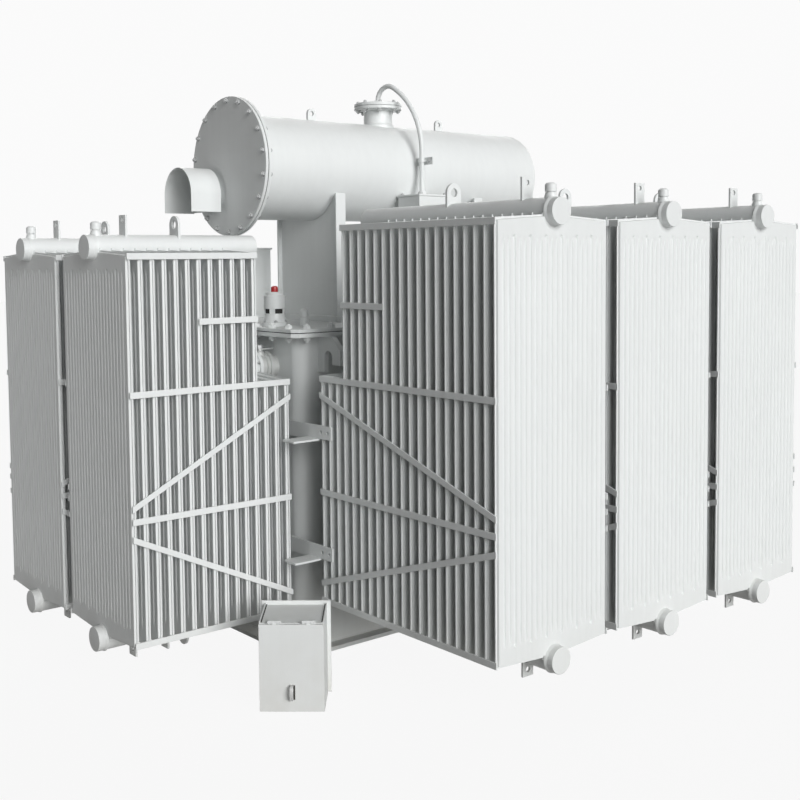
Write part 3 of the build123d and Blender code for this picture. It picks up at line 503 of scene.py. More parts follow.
@dataclass
class PanelPress:
    """Pressed double sheet of a radiator, with channels, grooves and a welded rim.

    Args:
        bottom: Level of the lower corners.
        top: Level of the upper corners.
        fine: True for a panel whose face is seen.
    """

    bottom: float
    top: float
    fine: bool
    width: float = 0.520
    gable: float = 0.016
    rim: float = 0.00175
    crown: float = 0.0090
    flange: float = 0.0050
    slope: float = 0.0032
    channels: int = 7
    groove: float = 0.0062
    crease: float = 0.0050
    margin: float = 0.057

    def columns(self) -> list[tuple[float, float, float, float]]:
        """Give each column's place, its full height and its depths when pressed.

        Returns:
            Place across the panel, height without folds, groove depth and crease depth.
        """
        half = self.width / 2
        start = half - self.flange - self.slope
        pitch = 2 * start / self.channels
        rim = [(-half, self.rim), (-half + self.flange, self.rim), (-start, self.crown)]
        columns = [(x, height, 0.0, 0.0) for x, height in rim]
        for k in range(self.channels):
            left = -start + pitch * k
            for share, groove, crease in self.wave(k):
                depths = groove * self.groove, crease * self.crease
                columns.append((left + pitch * share, self.crown, *depths))
        columns += [(-x, height, 0.0, 0.0) for x, height in reversed(rim)]
        return columns

    def wave(self, k: int) -> list[tuple[float, float, float]]:
        """Give the folds of a channel as shares of its pitch and of both depths.

        Args:
            k: Number of the channel from the left.

        Returns:
            Share of the pitch, of the groove depth and of the crease depth, from left to right.
        """
        if not self.fine and 0 < k < self.channels - 1:
            return [(0.018, 1.0, 0.0), (0.16, 0.0, 0.0), (0.84, 0.0, 0.0), (0.982, 1.0, 0.0)]
        flank = [(0.036, 1.0), (0.050, 0.86), (0.086, 0.14), (0.104, 0.0)]
        lead = [(share, deep, 0.0) for share, deep in flank] if k else []
        last = k == self.channels - 1
        tail = [] if last else [(1.0 - share, deep, 0.0) for share, deep in reversed(flank)]
        inner = []
        for middle in (1 / 3, 2 / 3):
            inner += [(middle - share, 0.0, deep) for share, deep in reversed(flank)]
            inner += [(middle + share, 0.0, deep) for share, deep in flank]
        return lead + inner + tail

    def rows(self) -> list[tuple[float, float, float, float, float]]:
        """Give the rows of a panel from its lower to its upper edge.

        Returns:
            Level of each row and its shares of the gable, crown, groove and crease.
        """
        lead = [
            (0.0, 1.0, 0.0, 0.0, 0.0),
            (self.flange, 1.0, 0.0, 0.0, 0.0),
            (self.flange + self.slope, 1.0, 1.0, 0.0, 0.0),
            (self.margin - 0.006, 0.0, 1.0, 0.0, 0.0),
            (self.margin + 0.003, 0.0, 1.0, 1.25, 0.1),
            (self.margin + 0.012, 0.0, 1.0, 0.75, 0.5),
            (self.margin + 0.040, 0.0, 1.0, 0.8, 1.0),
        ]
        below = [(self.bottom + at, -gable, *shares) for at, gable, *shares in lead]
        above = [(self.top - at, gable, *shares) for at, gable, *shares in reversed(lead)]
        return below + above

    def sheet(self) -> bmesh.types.BMesh:
        """Make the closed panel, its middle plane at y = 0.

        Returns:
            The panel's mesh, width along X and height along Z.
        """
        part = bmesh.new()
        columns, rows = self.columns(), self.rows()
        half = self.width / 2
        faces = []
        for side in (-1, 1):
            grid = []
            for level, gable, crown, groove, crease in rows:
                line = []
                for x, height, deep, fold in columns:
                    rise = gable * self.gable * (1 - abs(x) / half)
                    thick = self.rim + (height - self.rim) * crown - deep * groove - fold * crease
                    line.append(part.verts.new((x, side * max(thick, self.rim), level + rise)))
                grid.append(line)
            faces.append(grid)
        for side, grid in zip((-1, 1), faces):
            for low, high in zip(grid, grid[1:]):
                for k in range(len(columns) - 1):
                    part.faces.new([low[k], low[k + 1], high[k + 1], high[k]][::-side])
        front, back = faces
        edge, far = self.border(front), self.border(back)
        for k in range(len(edge)):
            n = (k + 1) % len(edge)
            part.faces.new([edge[k], edge[n], far[n], far[k]])
        return part

    @staticmethod
    def border(grid: list[list[bmesh.types.BMVert]]) -> list[bmesh.types.BMVert]:
        """Give the vertices round the edge of a sheet, in order."""
        right = [line[-1] for line in grid[1:-1]]
        left = [line[0] for line in grid[-2:0:-1]]
        return grid[0] + right + grid[-1][::-1] + left


@dataclass
class Radiator:
    """Radiator with its panels, headers, shut-off valves and straps.

    Args:
        name: First part of the names of its CAD nodes.
        place: Matrix from the radiator's own frame to the object's.
        bottom: Level of the panels' lower corners.
        top: Level of the panels' upper corners.
        short_top: Level of the short panels' upper corners.
        full_count: Number of full panels.
        header_end: Length of the upper header behind the outer face.
        lug_at: Place of the lifting lug behind the outer face.
        wall: Distance from the outer face to the tank wall.
        stub: Length of the pipe stubs on the wall.
    """

    name: str
    place: Matrix
    bottom: float
    top: float
    short_top: float
    full_count: int
    header_end: float
    lug_at: float
    wall: float
    stub: float
    pitch: float = 0.045
    thickness: float = 0.018
    short_count: int = 3
    radius: float = 0.0445
    offset: float = 0.024
    nose: float = 0.032
    leg_back: float = 0.044
    leg_radius: float = 0.041
    flange_radius: float = 0.060
    flange_depth: float = 0.014
    valve_radius: float = 0.052
    valve_depth: float = 0.036
    gap: float = 0.010
    vent_at: float = 0.015
    tab_at: float = 0.120
    second_tab_at: float = 0.250
    tab_width: float = 0.050
    tab_depth: float = 0.008
    tab_hole: float = 0.009
    sunk: float = 0.02
    lug_width: float = 0.066
    lug_depth: float = 0.010
    bead: float = 0.0042

    def at(self, axis: Axis, y: float, z: float) -> Matrix:
        """Give the placing matrix of a direction at a depth and height on the middle plane."""
        return self.place @ axis.at(0, y, z)

    def levels(self) -> Triple:
        """Give the heights of the upper, middle and lower header axes."""
        return self.top + self.offset, self.short_top + self.offset, self.bottom - self.offset

    def valve_start(self) -> float:
        """Give the place of the valves' first faces behind the outer face."""
        return self.wall - self.stub - self.flange_depth - self.valve_depth

    def panels(self) -> None:
        """Make the row of pressed panels."""
        shape = Shape()
        for k in range(self.full_count + self.short_count):
            top = self.top if k < self.full_count else self.short_top
            press = PanelPress(self.bottom, top, fine=k in (0, self.full_count - 1, self.full_count))
            middle = self.pitch * k + self.thickness / 2
            shape.add(press.sheet(), self.place @ shift(0.0, middle, 0.0))
        shape.finish(f"{self.name}_pressed_panels", Finishes.PAINT, (f"{self.name}_panels",))

    def pipe(self, shape: Shape, start: float, stop: float, level: float, open_end: bool = False) -> None:
        """Add a header pipe with a welded end disc at its free ends.

        Args:
            shape: Shape that takes the pipe in.
            start: Place of the first end behind the outer face.
            stop: Place of the second end.
            level: Height of the pipe's axis.
            open_end: True where the second end runs into a flange.
        """
        r = self.radius
        length = stop - start
        closed = [(0, 0), (r - 0.0025, 0), (r - 0.0008, 0.0008), (r, 0.0025)]
        second = [(r, length)] if open_end else [(x, length - z) for x, z in reversed(closed)]
        profile = closed + second
        shape.lathe(profile, self.at(Axis.Y, start, level), 56)

    def flange(self, shape: Shape, start: float, level: float) -> None:
        """Add a flat pipe flange that starts at a place behind the outer face."""
        r, d = self.flange_radius, self.flange_depth
        profile = [(self.radius, -0.006), (self.radius + 0.006, 0), (r - 0.0015, 0), (r, 0.0015)]
        profile += [(r, d - 0.0015), (r - 0.0015, d), (0, d)]
        shape.lathe(profile, self.at(Axis.Y, start, level), 56)

    def headers(self) -> None:
        """Make both header runs with collars, flanges, plates and weld beads."""
        shape = Shape()
        high, low, foot = self.levels()
        flange_start = self.valve_start() - self.flange_depth
        low_start = self.pitch * (self.full_count - 1) + self.thickness + self.gap
        self.pipe(shape, -self.nose, self.header_end, high)
        self.pipe(shape, low_start, flange_start, low, True)
        self.pipe(shape, -self.nose, flange_start, foot, True)
        leg = self.at(Axis.Z, self.header_end - self.leg_back, low)
        shape.lathe([(self.leg_radius, 0), (self.leg_radius, high - low)], leg, 48)
        for level in (low, foot):
            self.flange(shape, flange_start, level)
        r = self.radius
        collar = [(r, -0.009), (r + 0.0012, -0.0055), (r + 0.0030, -0.0020)]
        collar += [(r + 0.0040, 0.002), (r, 0.004)]
        for level in (high, foot):
            shape.lathe(collar, self.at(Axis.Y, 0, level), 56)
        self.upper_fittings(shape, high + r)
        self.lower_fittings(shape, foot - r)
        full, count = self.full_count, self.full_count + self.short_count
        self.seams(shape, range(full), high, -1)
        self.seams(shape, range(full, count), low, -1)
        self.seams(shape, range(count), foot, 1)
        shape.finish(f"{self.name}_pipework", Finishes.PAINT, (f"{self.name}_headers",))

    def upright(
        self, shape: Shape, outline: Outline, depth: float, spot: tuple[float, float], *holes: Outline
    ) -> None:
        """Add a plate that stands across the header.

        Args:
            shape: Shape that takes the plate in.
            outline: Corners of the plate.
            depth: Thickness of the plate.
            spot: Place behind the outer face, and height of the plate's zero line.
            holes: Corners of each hole.
        """
        shape.prism(outline, depth, self.at(Axis.Z, *spot) @ spin(90, "X"), 0.001, holes)

    def upper_fittings(self, shape: Shape, base: float) -> None:
        """Add the vent plug, the tab and the lifting lug on top of the upper header.

        Args:
            shape: Shape that takes them in.
            base: Height of the header's top.
        """
        vent = [(0.0215, -0.01), (0.0205, 0.004), (0.018, 0.009), (0.018, 0.0145)]
        vent += [(0.0135, 0.0148), (0.0135, 0.0172), (0.019, 0.0175), (0.019, 0.037)]
        vent += [(0.0178, 0.041), (0.014, 0.0445), (0.008, 0.0458), (0, 0.046)]
        shape.lathe(vent, self.at(Axis.Z, self.vent_at, base), 40)
        half, sunk, rise = self.tab_width / 2, self.sunk, 0.070
        tab = [(-half, -sunk), (half, -sunk), (half, rise), (-half, rise)]
        hole = ring_points(self.tab_hole, 20, (0.0, 0.052))
        self.upright(shape, tab, self.tab_depth, (self.tab_at, base), hole)
        lug = [(x, y if y > 0 else -0.03) for x, y in arch_outline(self.lug_width, 0.070)]
        eye = ring_points(0.015, 24, (0.0, 0.037))
        self.upright(shape, lug, self.lug_depth, (self.lug_at, base), eye)

    def lower_fittings(self, shape: Shape, under: float) -> None:
        """Add the two tabs and the hanger below the lower header.

        Args:
            shape: Shape that takes them in.
            under: Height of the header's underside.
        """
        half, sunk, drop = self.tab_width / 2, self.sunk, 0.048
        tab = [(-half, -drop), (half, -drop), (half, sunk), (-half, sunk)]
        hole = ring_points(self.tab_hole, 20, (0.0, -drop / 2))
        for back in (self.tab_at, self.second_tab_at):
            self.upright(shape, tab, self.tab_depth, (back, under), hole)
        hanger = [(x, -y if y > 0 else 0.03) for x, y in arch_outline(self.lug_width, 0.052)]
        self.upright(shape, hanger, self.lug_depth, (self.lug_at, under))

    def seams(self, shape: Shape, panels: range, level: float, towards: int) -> None:
        """Add the short weld beads where panel edges meet a header.

        Args:
            shape: Shape that takes the beads in.
            panels: Numbers of the panels along the header.
            level: Height of the header's axis.
            towards: 1 where the panels stand above the header, -1 where they hang below.
        """
        r = self.radius
        angles = [math.radians(towards * degrees) for degrees in (4, 13, 22, 31)]
        for k in panels:
            middle = self.pitch * k + self.thickness / 2
            for side in (-1, 1):
                spots = [Vector((side * r * math.cos(a), middle, level + r * math.sin(a))) for a in angles]
                shape.weld([self.place @ spot for spot in spots], self.bead)

    def valves(self, shape: Shape, bolts: Shape) -> None:
        """Add the shut-off valves, the wall stubs and their bolts.

        Args:
            shape: Shape of the valve bodies.
            bolts: Shape of the bolts.
        """
        low, foot = self.levels()[1:]
        start = self.valve_start()
        r, d = self.valve_radius, self.valve_depth
        face = [(0, 0), (r, 0), (r, 0.010), (r - 0.006, 0.013)]
        body = face + [(x, d - z) for x, z in reversed(face)]
        stem = [(0.016, 0), (0.016, r + 0.006), (0.010, r + 0.010), (0.010, r + 0.020), (0.0, r + 0.021)]
        wide, deep = self.flange_radius, self.flange_depth
        plate = [(0, 0), (wide, 0), (wide, deep), (self.radius, deep), (self.radius, deep + self.stub)]
        for level in (low, foot):
            shape.lathe(body, self.at(Axis.Y, start, level), 48)
            shape.lathe(stem, self.at(Axis.Z, start + d / 2, level), 20)
            head = self.at(Axis.Z, start + d / 2, level + r + 0.020)
            bolts.lathe([(0.014, 0), (0.014, 0.011), (0.011, 0.014), (0, 0.014)], head, 6)
            shape.prism(arch_outline(0.018, 0.070), 0.006, head @ shift(0, 0, -0.003), 0.0008)
            shape.lathe(plate, self.at(Axis.Y, start + d, level), 48)
            bolts.bolt_ring(self.at(Axis.Y, start - deep, level) @ FLIP, 0.0525, 8, 0.0062, 0.39)

    def straps(self) -> None:
        """Make the flat bars along the panel edges."""
        soften(f"{self.name}_straps", f"{self.name}_flat_bars", 0.0010)


@dataclass
class Tank:
    """Tank with base plate, flange, cover, stiffeners, hooks and arms."""

    length: float = 1.632
    width: float = 0.936
    corner: float = 0.055
    base_top: float = 0.016
    flange_low: float = 1.231
    cover_top: float = 1.263
    overhang: float = 0.060
    bolt_inset: float = 0.026
    bolt_pitch: float = 0.113
    bolt_start: float = 0.05
    bolt_size: float = 0.016
    bead: float = 0.005

    def body(self) -> None:
        """Make the rounded wall with its weld seams at base and flange."""
        shape = Shape()
        height = self.flange_low - self.base_top
        outline = rounded_outline(self.length, self.width, self.corner)
        shape.prism(outline, height, shift(0, 0, self.base_top + height / 2))
        seam = rounded_outline(self.length, self.width, self.corner, 8)
        for level in (self.base_top, self.flange_low):
            path = [Vector((x, y, level)) for x, y in seam]
            shape.weld(path + path[:1], self.bead)
        shape.finish("tank_wall", Finishes.PAINT, ("tank_body",))

    def plates(self) -> None:
        """Soften and paint the plates, ribs, hooks and arms."""
        ribs = ("tank_stiffeners", "lifting_hooks", "radiator_arms")
        for node in ("tank_base_plate", "tank_flange", "tank_cover", *ribs):
            soften(node, f"{node}_painted", 0.0016)
        soften("cover_gasket", "cover_gasket_rubber", 0.0004, Finishes.RUBBER)

    def bolts(self) -> None:
        """Make the row of bolts and nuts round the cover."""
        shape = Shape()
        half_x = self.length / 2 + self.overhang - self.bolt_inset
        half_y = self.width / 2 + self.overhang - self.bolt_inset
        spots = []
        for half_along, half_across, flip in ((half_x, half_y, False), (half_y, half_x, True)):
            first = half_along - self.bolt_start
            count = round(2 * first / self.bolt_pitch)
            for k in range(count + 1):
                along = 2 * first * k / count - first
                for side in (-1, 1):
                    spots.append((side * half_across, along) if flip else (along, side * half_across))
        for x, y in spots:
            shape.bolt(shift(x, y, self.cover_top), self.bolt_size)
            shape.bolt(shift(x, y, self.flange_low) @ FLIP, self.bolt_size)
        shape.finish("cover_bolts", Finishes.PAINT)


@dataclass
class Conservator:
    """Drum with its bolted end, supports, neck, breather pipe and oil gauge."""

    axis_z: float = 1.909
    radius: float = 0.215
    near_x: float = -0.828
    far_x: float = 0.765
    rim: float = 0.283
    plate: float = 0.014
    neck_x: float = -0.035
    neck_top: float = 2.222
    drop: tuple[float, float] = (0.001, -0.257)
    apex: float = 2.296
    small_bend: float = 0.060
    dip: float = 30.0
    box_top: float = 1.802
    gauge: tuple[float, float] = (0.135, 1.800)
    steps: int = 128
    bolt_circle: float = 0.267
    bolt_count: int = 18
    bolt_size: float = 0.011
    neck_flange: float = 0.1075
    neck_circle: float = 0.090
    neck_bolts: int = 8
    clamp_z: float = 1.950
    box_y: float = -0.267
    pipe_radius: float = 0.011
    hood_radius: float = 0.111
    hood_sheet: float = 0.003
    hood_low: float = 1.725
    hood_spring: float = 1.797

    def drum(self) -> None:
        """Make the drum, its two ends and the ring of bolts."""
        r, f, deep = self.radius, self.rim, self.plate - 0.0015
        start = self.near_x + self.plate
        length = self.far_x - start
        near, inside = Axis.X.at(self.near_x, 0, self.axis_z), Axis.X.at(start, 0, self.axis_z)
        shell = [(r - 0.006, 0.0015), (f - 0.001, 0.0015), (f, 0.0025), (f, 0.0125), (f - 0.0015, 0.014)]
        shell += [(r + 0.007, 0.014), (r, 0.021), (r, length - 0.016), (r + 0.0015, length - 0.012)]
        shell += [(r - 0.001, length - 0.008)]
        turned("conservator_drum", Finishes.PAINT, shell, inside, self.steps, "conservator_shell")
        end = [(r - 0.001, 0), (r - 0.001, 0.006), (r - 0.004, 0.008), (0, 0.008)]
        far = Axis.X.at(self.far_x - 0.008, 0, self.axis_z)
        turned("conservator_welded_end", Finishes.PAINT, end, far, self.steps, "conservator_far_end")
        lid = [(0, 0), (f - 0.0015, 0), (f, 0.0015), (f, deep - 0.001), (f - 0.001, deep), (0, deep)]
        turned("conservator_bolted_end", Finishes.PAINT, lid, near, self.steps, "conservator_end_plate")
        shape = Shape()
        for face in (near @ FLIP, Axis.X.at(start + self.plate, 0, self.axis_z)):
            shape.bolt_ring(face, self.bolt_circle, self.bolt_count, self.bolt_size)
        shape.finish("conservator_end_bolts", Finishes.ZINC)
        seal = [(f - 0.02, -0.001), (f - 0.0035, -0.001), (f - 0.0035, 0.002), (f - 0.02, 0.002)]
        turned("conservator_end_gasket", Finishes.RUBBER, seal, inside, self.steps)

    def supports(self) -> None:
        """Soften and paint the supports, the lifting eyes, the pipe clamp and the box."""
        for node in ("conservator_supports", "lifting_eyes", "pipe_clamp", "breather_box"):
            soften(node, f"{node}_painted", 0.0014)
        grip = Shape()
        x, y = self.drop
        for across in (-0.036, 0.024):
            grip.bolt(Axis.X.at(x + 0.017, y + across, self.clamp_z), 0.007)
            grip.bolt(Axis.X.at(x + 0.011, y + across, self.clamp_z) @ FLIP, 0.007)
        grip.finish("pipe_clamp_bolts", Finishes.ZINC)

    def neck(self) -> None:
        """Make the neck with its bolted flange pair."""
        base = self.axis_z + self.radius - 0.02
        low = self.neck_top - 0.028
        rise, f = low - base, self.neck_flange
        pipe = [(0.072, 0), (0.072, 0.020), (0.065, 0.028), (0.065, rise - 0.006), (0.071, rise)]
        pipe += [(f - 0.0015, rise), (f, rise + 0.0015), (f, rise + 0.013), (0, rise + 0.013)]
        place = shift(self.neck_x, 0, base)
        turned("conservator_neck_pipe", Finishes.PAINT, pipe, place, 64, "conservator_neck")
        lid = [(0, 0), (f, 0.001), (f, 0.0125), (f - 0.0015, 0.014), (0.024, 0.014)]
        lid += [(0.020, 0.018), (0, 0.018)]
        place = shift(self.neck_x, 0, self.neck_top - 0.014)
        turned("neck_lid", Finishes.PAINT, lid, place, 64, "neck_cover")
        shape = Shape()
        circle, count = self.neck_circle, self.neck_bolts
        shape.bolt_ring(shift(self.neck_x, 0, self.neck_top), circle, count, 0.010, 0.2)
        shape.bolt_ring(shift(self.neck_x, 0, low) @ FLIP, circle, count, 0.012, -0.2)
        for sx in (-0.072, 0.072):
            for sy in (-0.058, 0.058):
                shape.bolt(shift(self.drop[0] + sx, self.box_y + sy, self.box_top), 0.009)
        shape.finish("neck_bolts", Finishes.ZINC)

    def pipe(self) -> None:
        """Make the breather pipe from the neck over the drum to the breather box."""
        across = Vector((self.drop[0] - self.neck_x, self.drop[1], 0.0))
        run, across = across.length, across.normalized()
        small, dip = self.small_bend, math.radians(self.dip)
        large = (run - small * (1 + math.sin(dip))) / (1 - math.sin(dip))
        end = self.apex - small + small * math.cos(dip) - large * math.cos(dip)
        path = [(0.0, self.neck_top), (0.0, self.neck_top + 0.01)]
        for a in self.bend(-math.pi / 2, dip, 14):
            path.append((small + small * math.sin(a), self.apex - small + small * math.cos(a)))
        for a in self.bend(dip, math.pi / 2, 18):
            path.append((run - large + large * math.sin(a), end + large * math.cos(a)))
        path += [(run, self.box_top + 0.01), (run, self.box_top - 0.002)]
        curve = bpy.data.curves.new("breather_line", "CURVE")
        curve.dimensions = "3D"
        curve.bevel_depth = self.pipe_radius
        curve.bevel_resolution = 7
        spline = curve.splines.new("POLY")
        spline.points.add(len(path) - 1)
        for point, (along, level) in zip(spline.points, path):
            spot = Vector((self.neck_x, 0, level)) + across * along
            point.co = (*spot, 1.0)
        line = bpy.data.objects.new("breather_line", curve)
        mesh = bpy.data.meshes.new_from_object(line)
        shape = Shape()
        part = bmesh.new()
        part.from_mesh(mesh)
        shape.add(part, STAY)
        bpy.data.objects.remove(line)
        r = self.pipe_radius
        nut = [(r, 0), (0.018, 0), (0.018, 0.014), (0.016, 0.017), (r, 0.017)]
        shape.lathe(nut, shift(*self.drop, self.box_top), 6)
        shape.lathe(nut, shift(self.neck_x, 0, self.neck_top), 6)
        shape.finish("breather_tube", Finishes.PAINT, ("breather_pipe",))

    @staticmethod
    def bend(start: float, stop: float, steps: int) -> list[float]:
        """Give the angles of a bend after its start, up to its end."""
        return [start + (stop - start) * k / steps for k in range(1, steps + 1)]

    def oil_gauge(self) -> None:
        """Make the gauge with its dial and the sheet hood over it."""
        y, z = self.gauge
        out = Axis.X.at(self.near_x, y, z) @ FLIP
        shape = Shape()
        case = [(0.062, 0.020), (0.062, 0.022), (0.060, 0.022), (0.060, 0.034), (0.058, 0.036)]
        case += [(0.052, 0.036), (0.050, 0.031), (0, 0.031)]
        shape.lathe(case, out, 64)
        pointer = shift(0, 0.012, 0.0328) @ Matrix.Rotation(0.5, 4, "Z")
        shape.block((0.004, 0.036, 0.0012), out @ pointer, 0)
        shape.finish("gauge_case", Finishes.BLACK, ("oil_gauge",))
        boss = Shape()
        boss.lathe([(0.078, 0), (0.075, 0.004), (0.075, 0.020), (0.073, 0.022), (0, 0.022)], out, 64)
        boss.bolt_ring(out @ shift(0, 0, 0.022), 0.067, 6, 0.007)
        boss.finish("gauge_boss", Finishes.PAINT)
        dial = [(0.049, 0.0312), (0.049, 0.0318), (0, 0.0318)]
        turned("gauge_dial", Finishes.DIAL, dial, out, 48)
        hood = Shape()
        r, sheet, low = self.hood_radius, self.hood_sheet, self.hood_low
        outer, inner, rear = self.hood_arc(r), self.hood_arc(r - sheet), self.hood_arc(r - sheet / 2)
        outline = [(r, low), *outer, (-r, low), (-r + sheet, low), *reversed(inner), (r - sheet, low)]
        upright = Matrix(((0, 0, 1, self.near_x - 0.091), (1, 0, 0, y), (0, 1, 0, 0), (0, 0, 0, 1)))
        hood.prism(outline, 0.138, upright, 0.0006)
        seat = r - sheet / 2
        back = [(seat, low + sheet), *rear, (-seat, low + sheet)]
        hole = ring_points(0.0605, 48, (0.0, z))
        hood.prism(back, 0.004, upright @ shift(0, 0, 0.0665), 0.0, (hole,))
        hood.finish("gauge_rain_hood", Finishes.PAINT, ("gauge_hood",))

    def hood_arc(self, radius: float) -> Outline:
        """Give the half circle of the hood's roof for a radius."""
        angles = [math.pi * k / 40 for k in range(41)]
        return [(radius * math.cos(a), self.hood_spring + radius * math.sin(a)) for a in angles]


@dataclass
class CoverFittings:
    """Relief valve, thermometer pocket, cable box and gas relay on the cover."""

    cover_top: float = 1.263
    relief: tuple[float, float] = (-0.773, -0.245)
    pocket: tuple[float, float] = (-0.702, -0.347)
    relay_x: float = 0.590
    relay_z: float = 1.485
    relay_flanges: tuple[float, float] = (1.406, 1.550)
    pipe_top: float = 1.6942

    def relief_valve(self) -> None:
        """Make the relief valve with its slotted band, a black ring of painted shade in the slots, and red
        indicator.
        """
        shape = Shape()
        place = shift(*self.relief, self.cover_top)
        profile = [(0, 0), (0.052, 0), (0.052, 0.014), (0.0505, 0.016), (0.047, 0.018), (0.041, 0.040)]
        profile += [(0.040, 0.050), (0.034, 0.051), (0.034, 0.069), (0.043, 0.070), (0.043, 0.120)]
        profile += [(0.0415, 0.1215), (0.036, 0.122), (0.036, 0.134), (0.034, 0.136), (0, 0.136)]
        shape.lathe(profile, place, 56)
        for k in range(4):
            post = spin(41 + 90 * k, "Z") @ shift(0.0365, 0, 0.0602)
            shape.block((0.007, 0.022, 0.021), place @ post, 0.0006)
        shape.finish("relief_valve_body", Finishes.PAINT, ("pressure_relief_valve",))
        # A black ring over the waist between the posts is the painted shade inside the slots.
        slot_shade = [(0.034, 0.0505), (0.0362, 0.0505), (0.0362, 0.0695), (0.034, 0.0695)]
        turned("relief_valve_painted_slot_shade", Finishes.RUBBER, slot_shade, place, 48)
        bolts = Shape()
        bolts.bolt_ring(place @ shift(0, 0, 0.016), 0.0445, 6, 0.008)
        bolts.finish("relief_valve_bolts", Finishes.ZINC)
        dome = [(0.014, 0), (0.014, 0.016), (0.012, 0.021), (0.007, 0.0235), (0, 0.024)]
        turned("relief_pin", Finishes.RED, dome, place @ shift(0, 0, 0.136), 40, "relief_indicator")

    def thermometer(self) -> None:
        """Make the domed thermometer pocket."""
        place = shift(*self.pocket, self.cover_top)
        profile = [(0.017, 0), (0.017, 0.034), (0.015, 0.0355), (0.015, 0.0375), (0.017, 0.039)]
        profile += [(0.017, 0.057), (0.0155, 0.063), (0.011, 0.068), (0.005, 0.0697), (0, 0.070)]
        turned("thermometer_well", Finishes.PAINT, profile, place, 40, "thermometer_pocket")

    def boxes(self) -> None:
        """Soften the cable box and make the gas relay on its pipe."""
        soften("cable_box", "cable_box_painted", 0.002)
        shape = Shape()
        x, low, high, middle = self.relay_x, self.cover_top, self.pipe_top, self.relay_z
        rise, pipe = high - low, 0.030
        shape.lathe([(pipe, 0), (pipe, rise - 0.012), (0.036, rise)], shift(x, 0, low), 40)
        flange = [(pipe, -0.006), (0.036, 0), (0.0685, 0), (0.070, 0.0015), (0.070, 0.0125)]
        flange += [(0.0685, 0.014), (pipe, 0.014)]
        for level in (low, *self.relay_flanges):
            shape.lathe(flange, shift(x, 0, level), 48)
        shape.block((0.130, 0.130, 0.130), shift(x, 0, middle), 0.012)
        cap = [(0.040, 0), (0.040, 0.006), (0.034, 0.009), (0, 0.009)]
        shape.lathe(cap, Axis.Y.at(x, 0.060, middle), 40)
        shape.finish("gas_relay", Finishes.PAINT, ("gas_relay_pipe",))
        bolts = Shape()
        for level in (low + 0.014, 1.564):
            bolts.bolt_ring(shift(x, 0, level), 0.055, 4, 0.010, 0.785)
        bolts.finish("gas_relay_bolts", Finishes.ZINC)


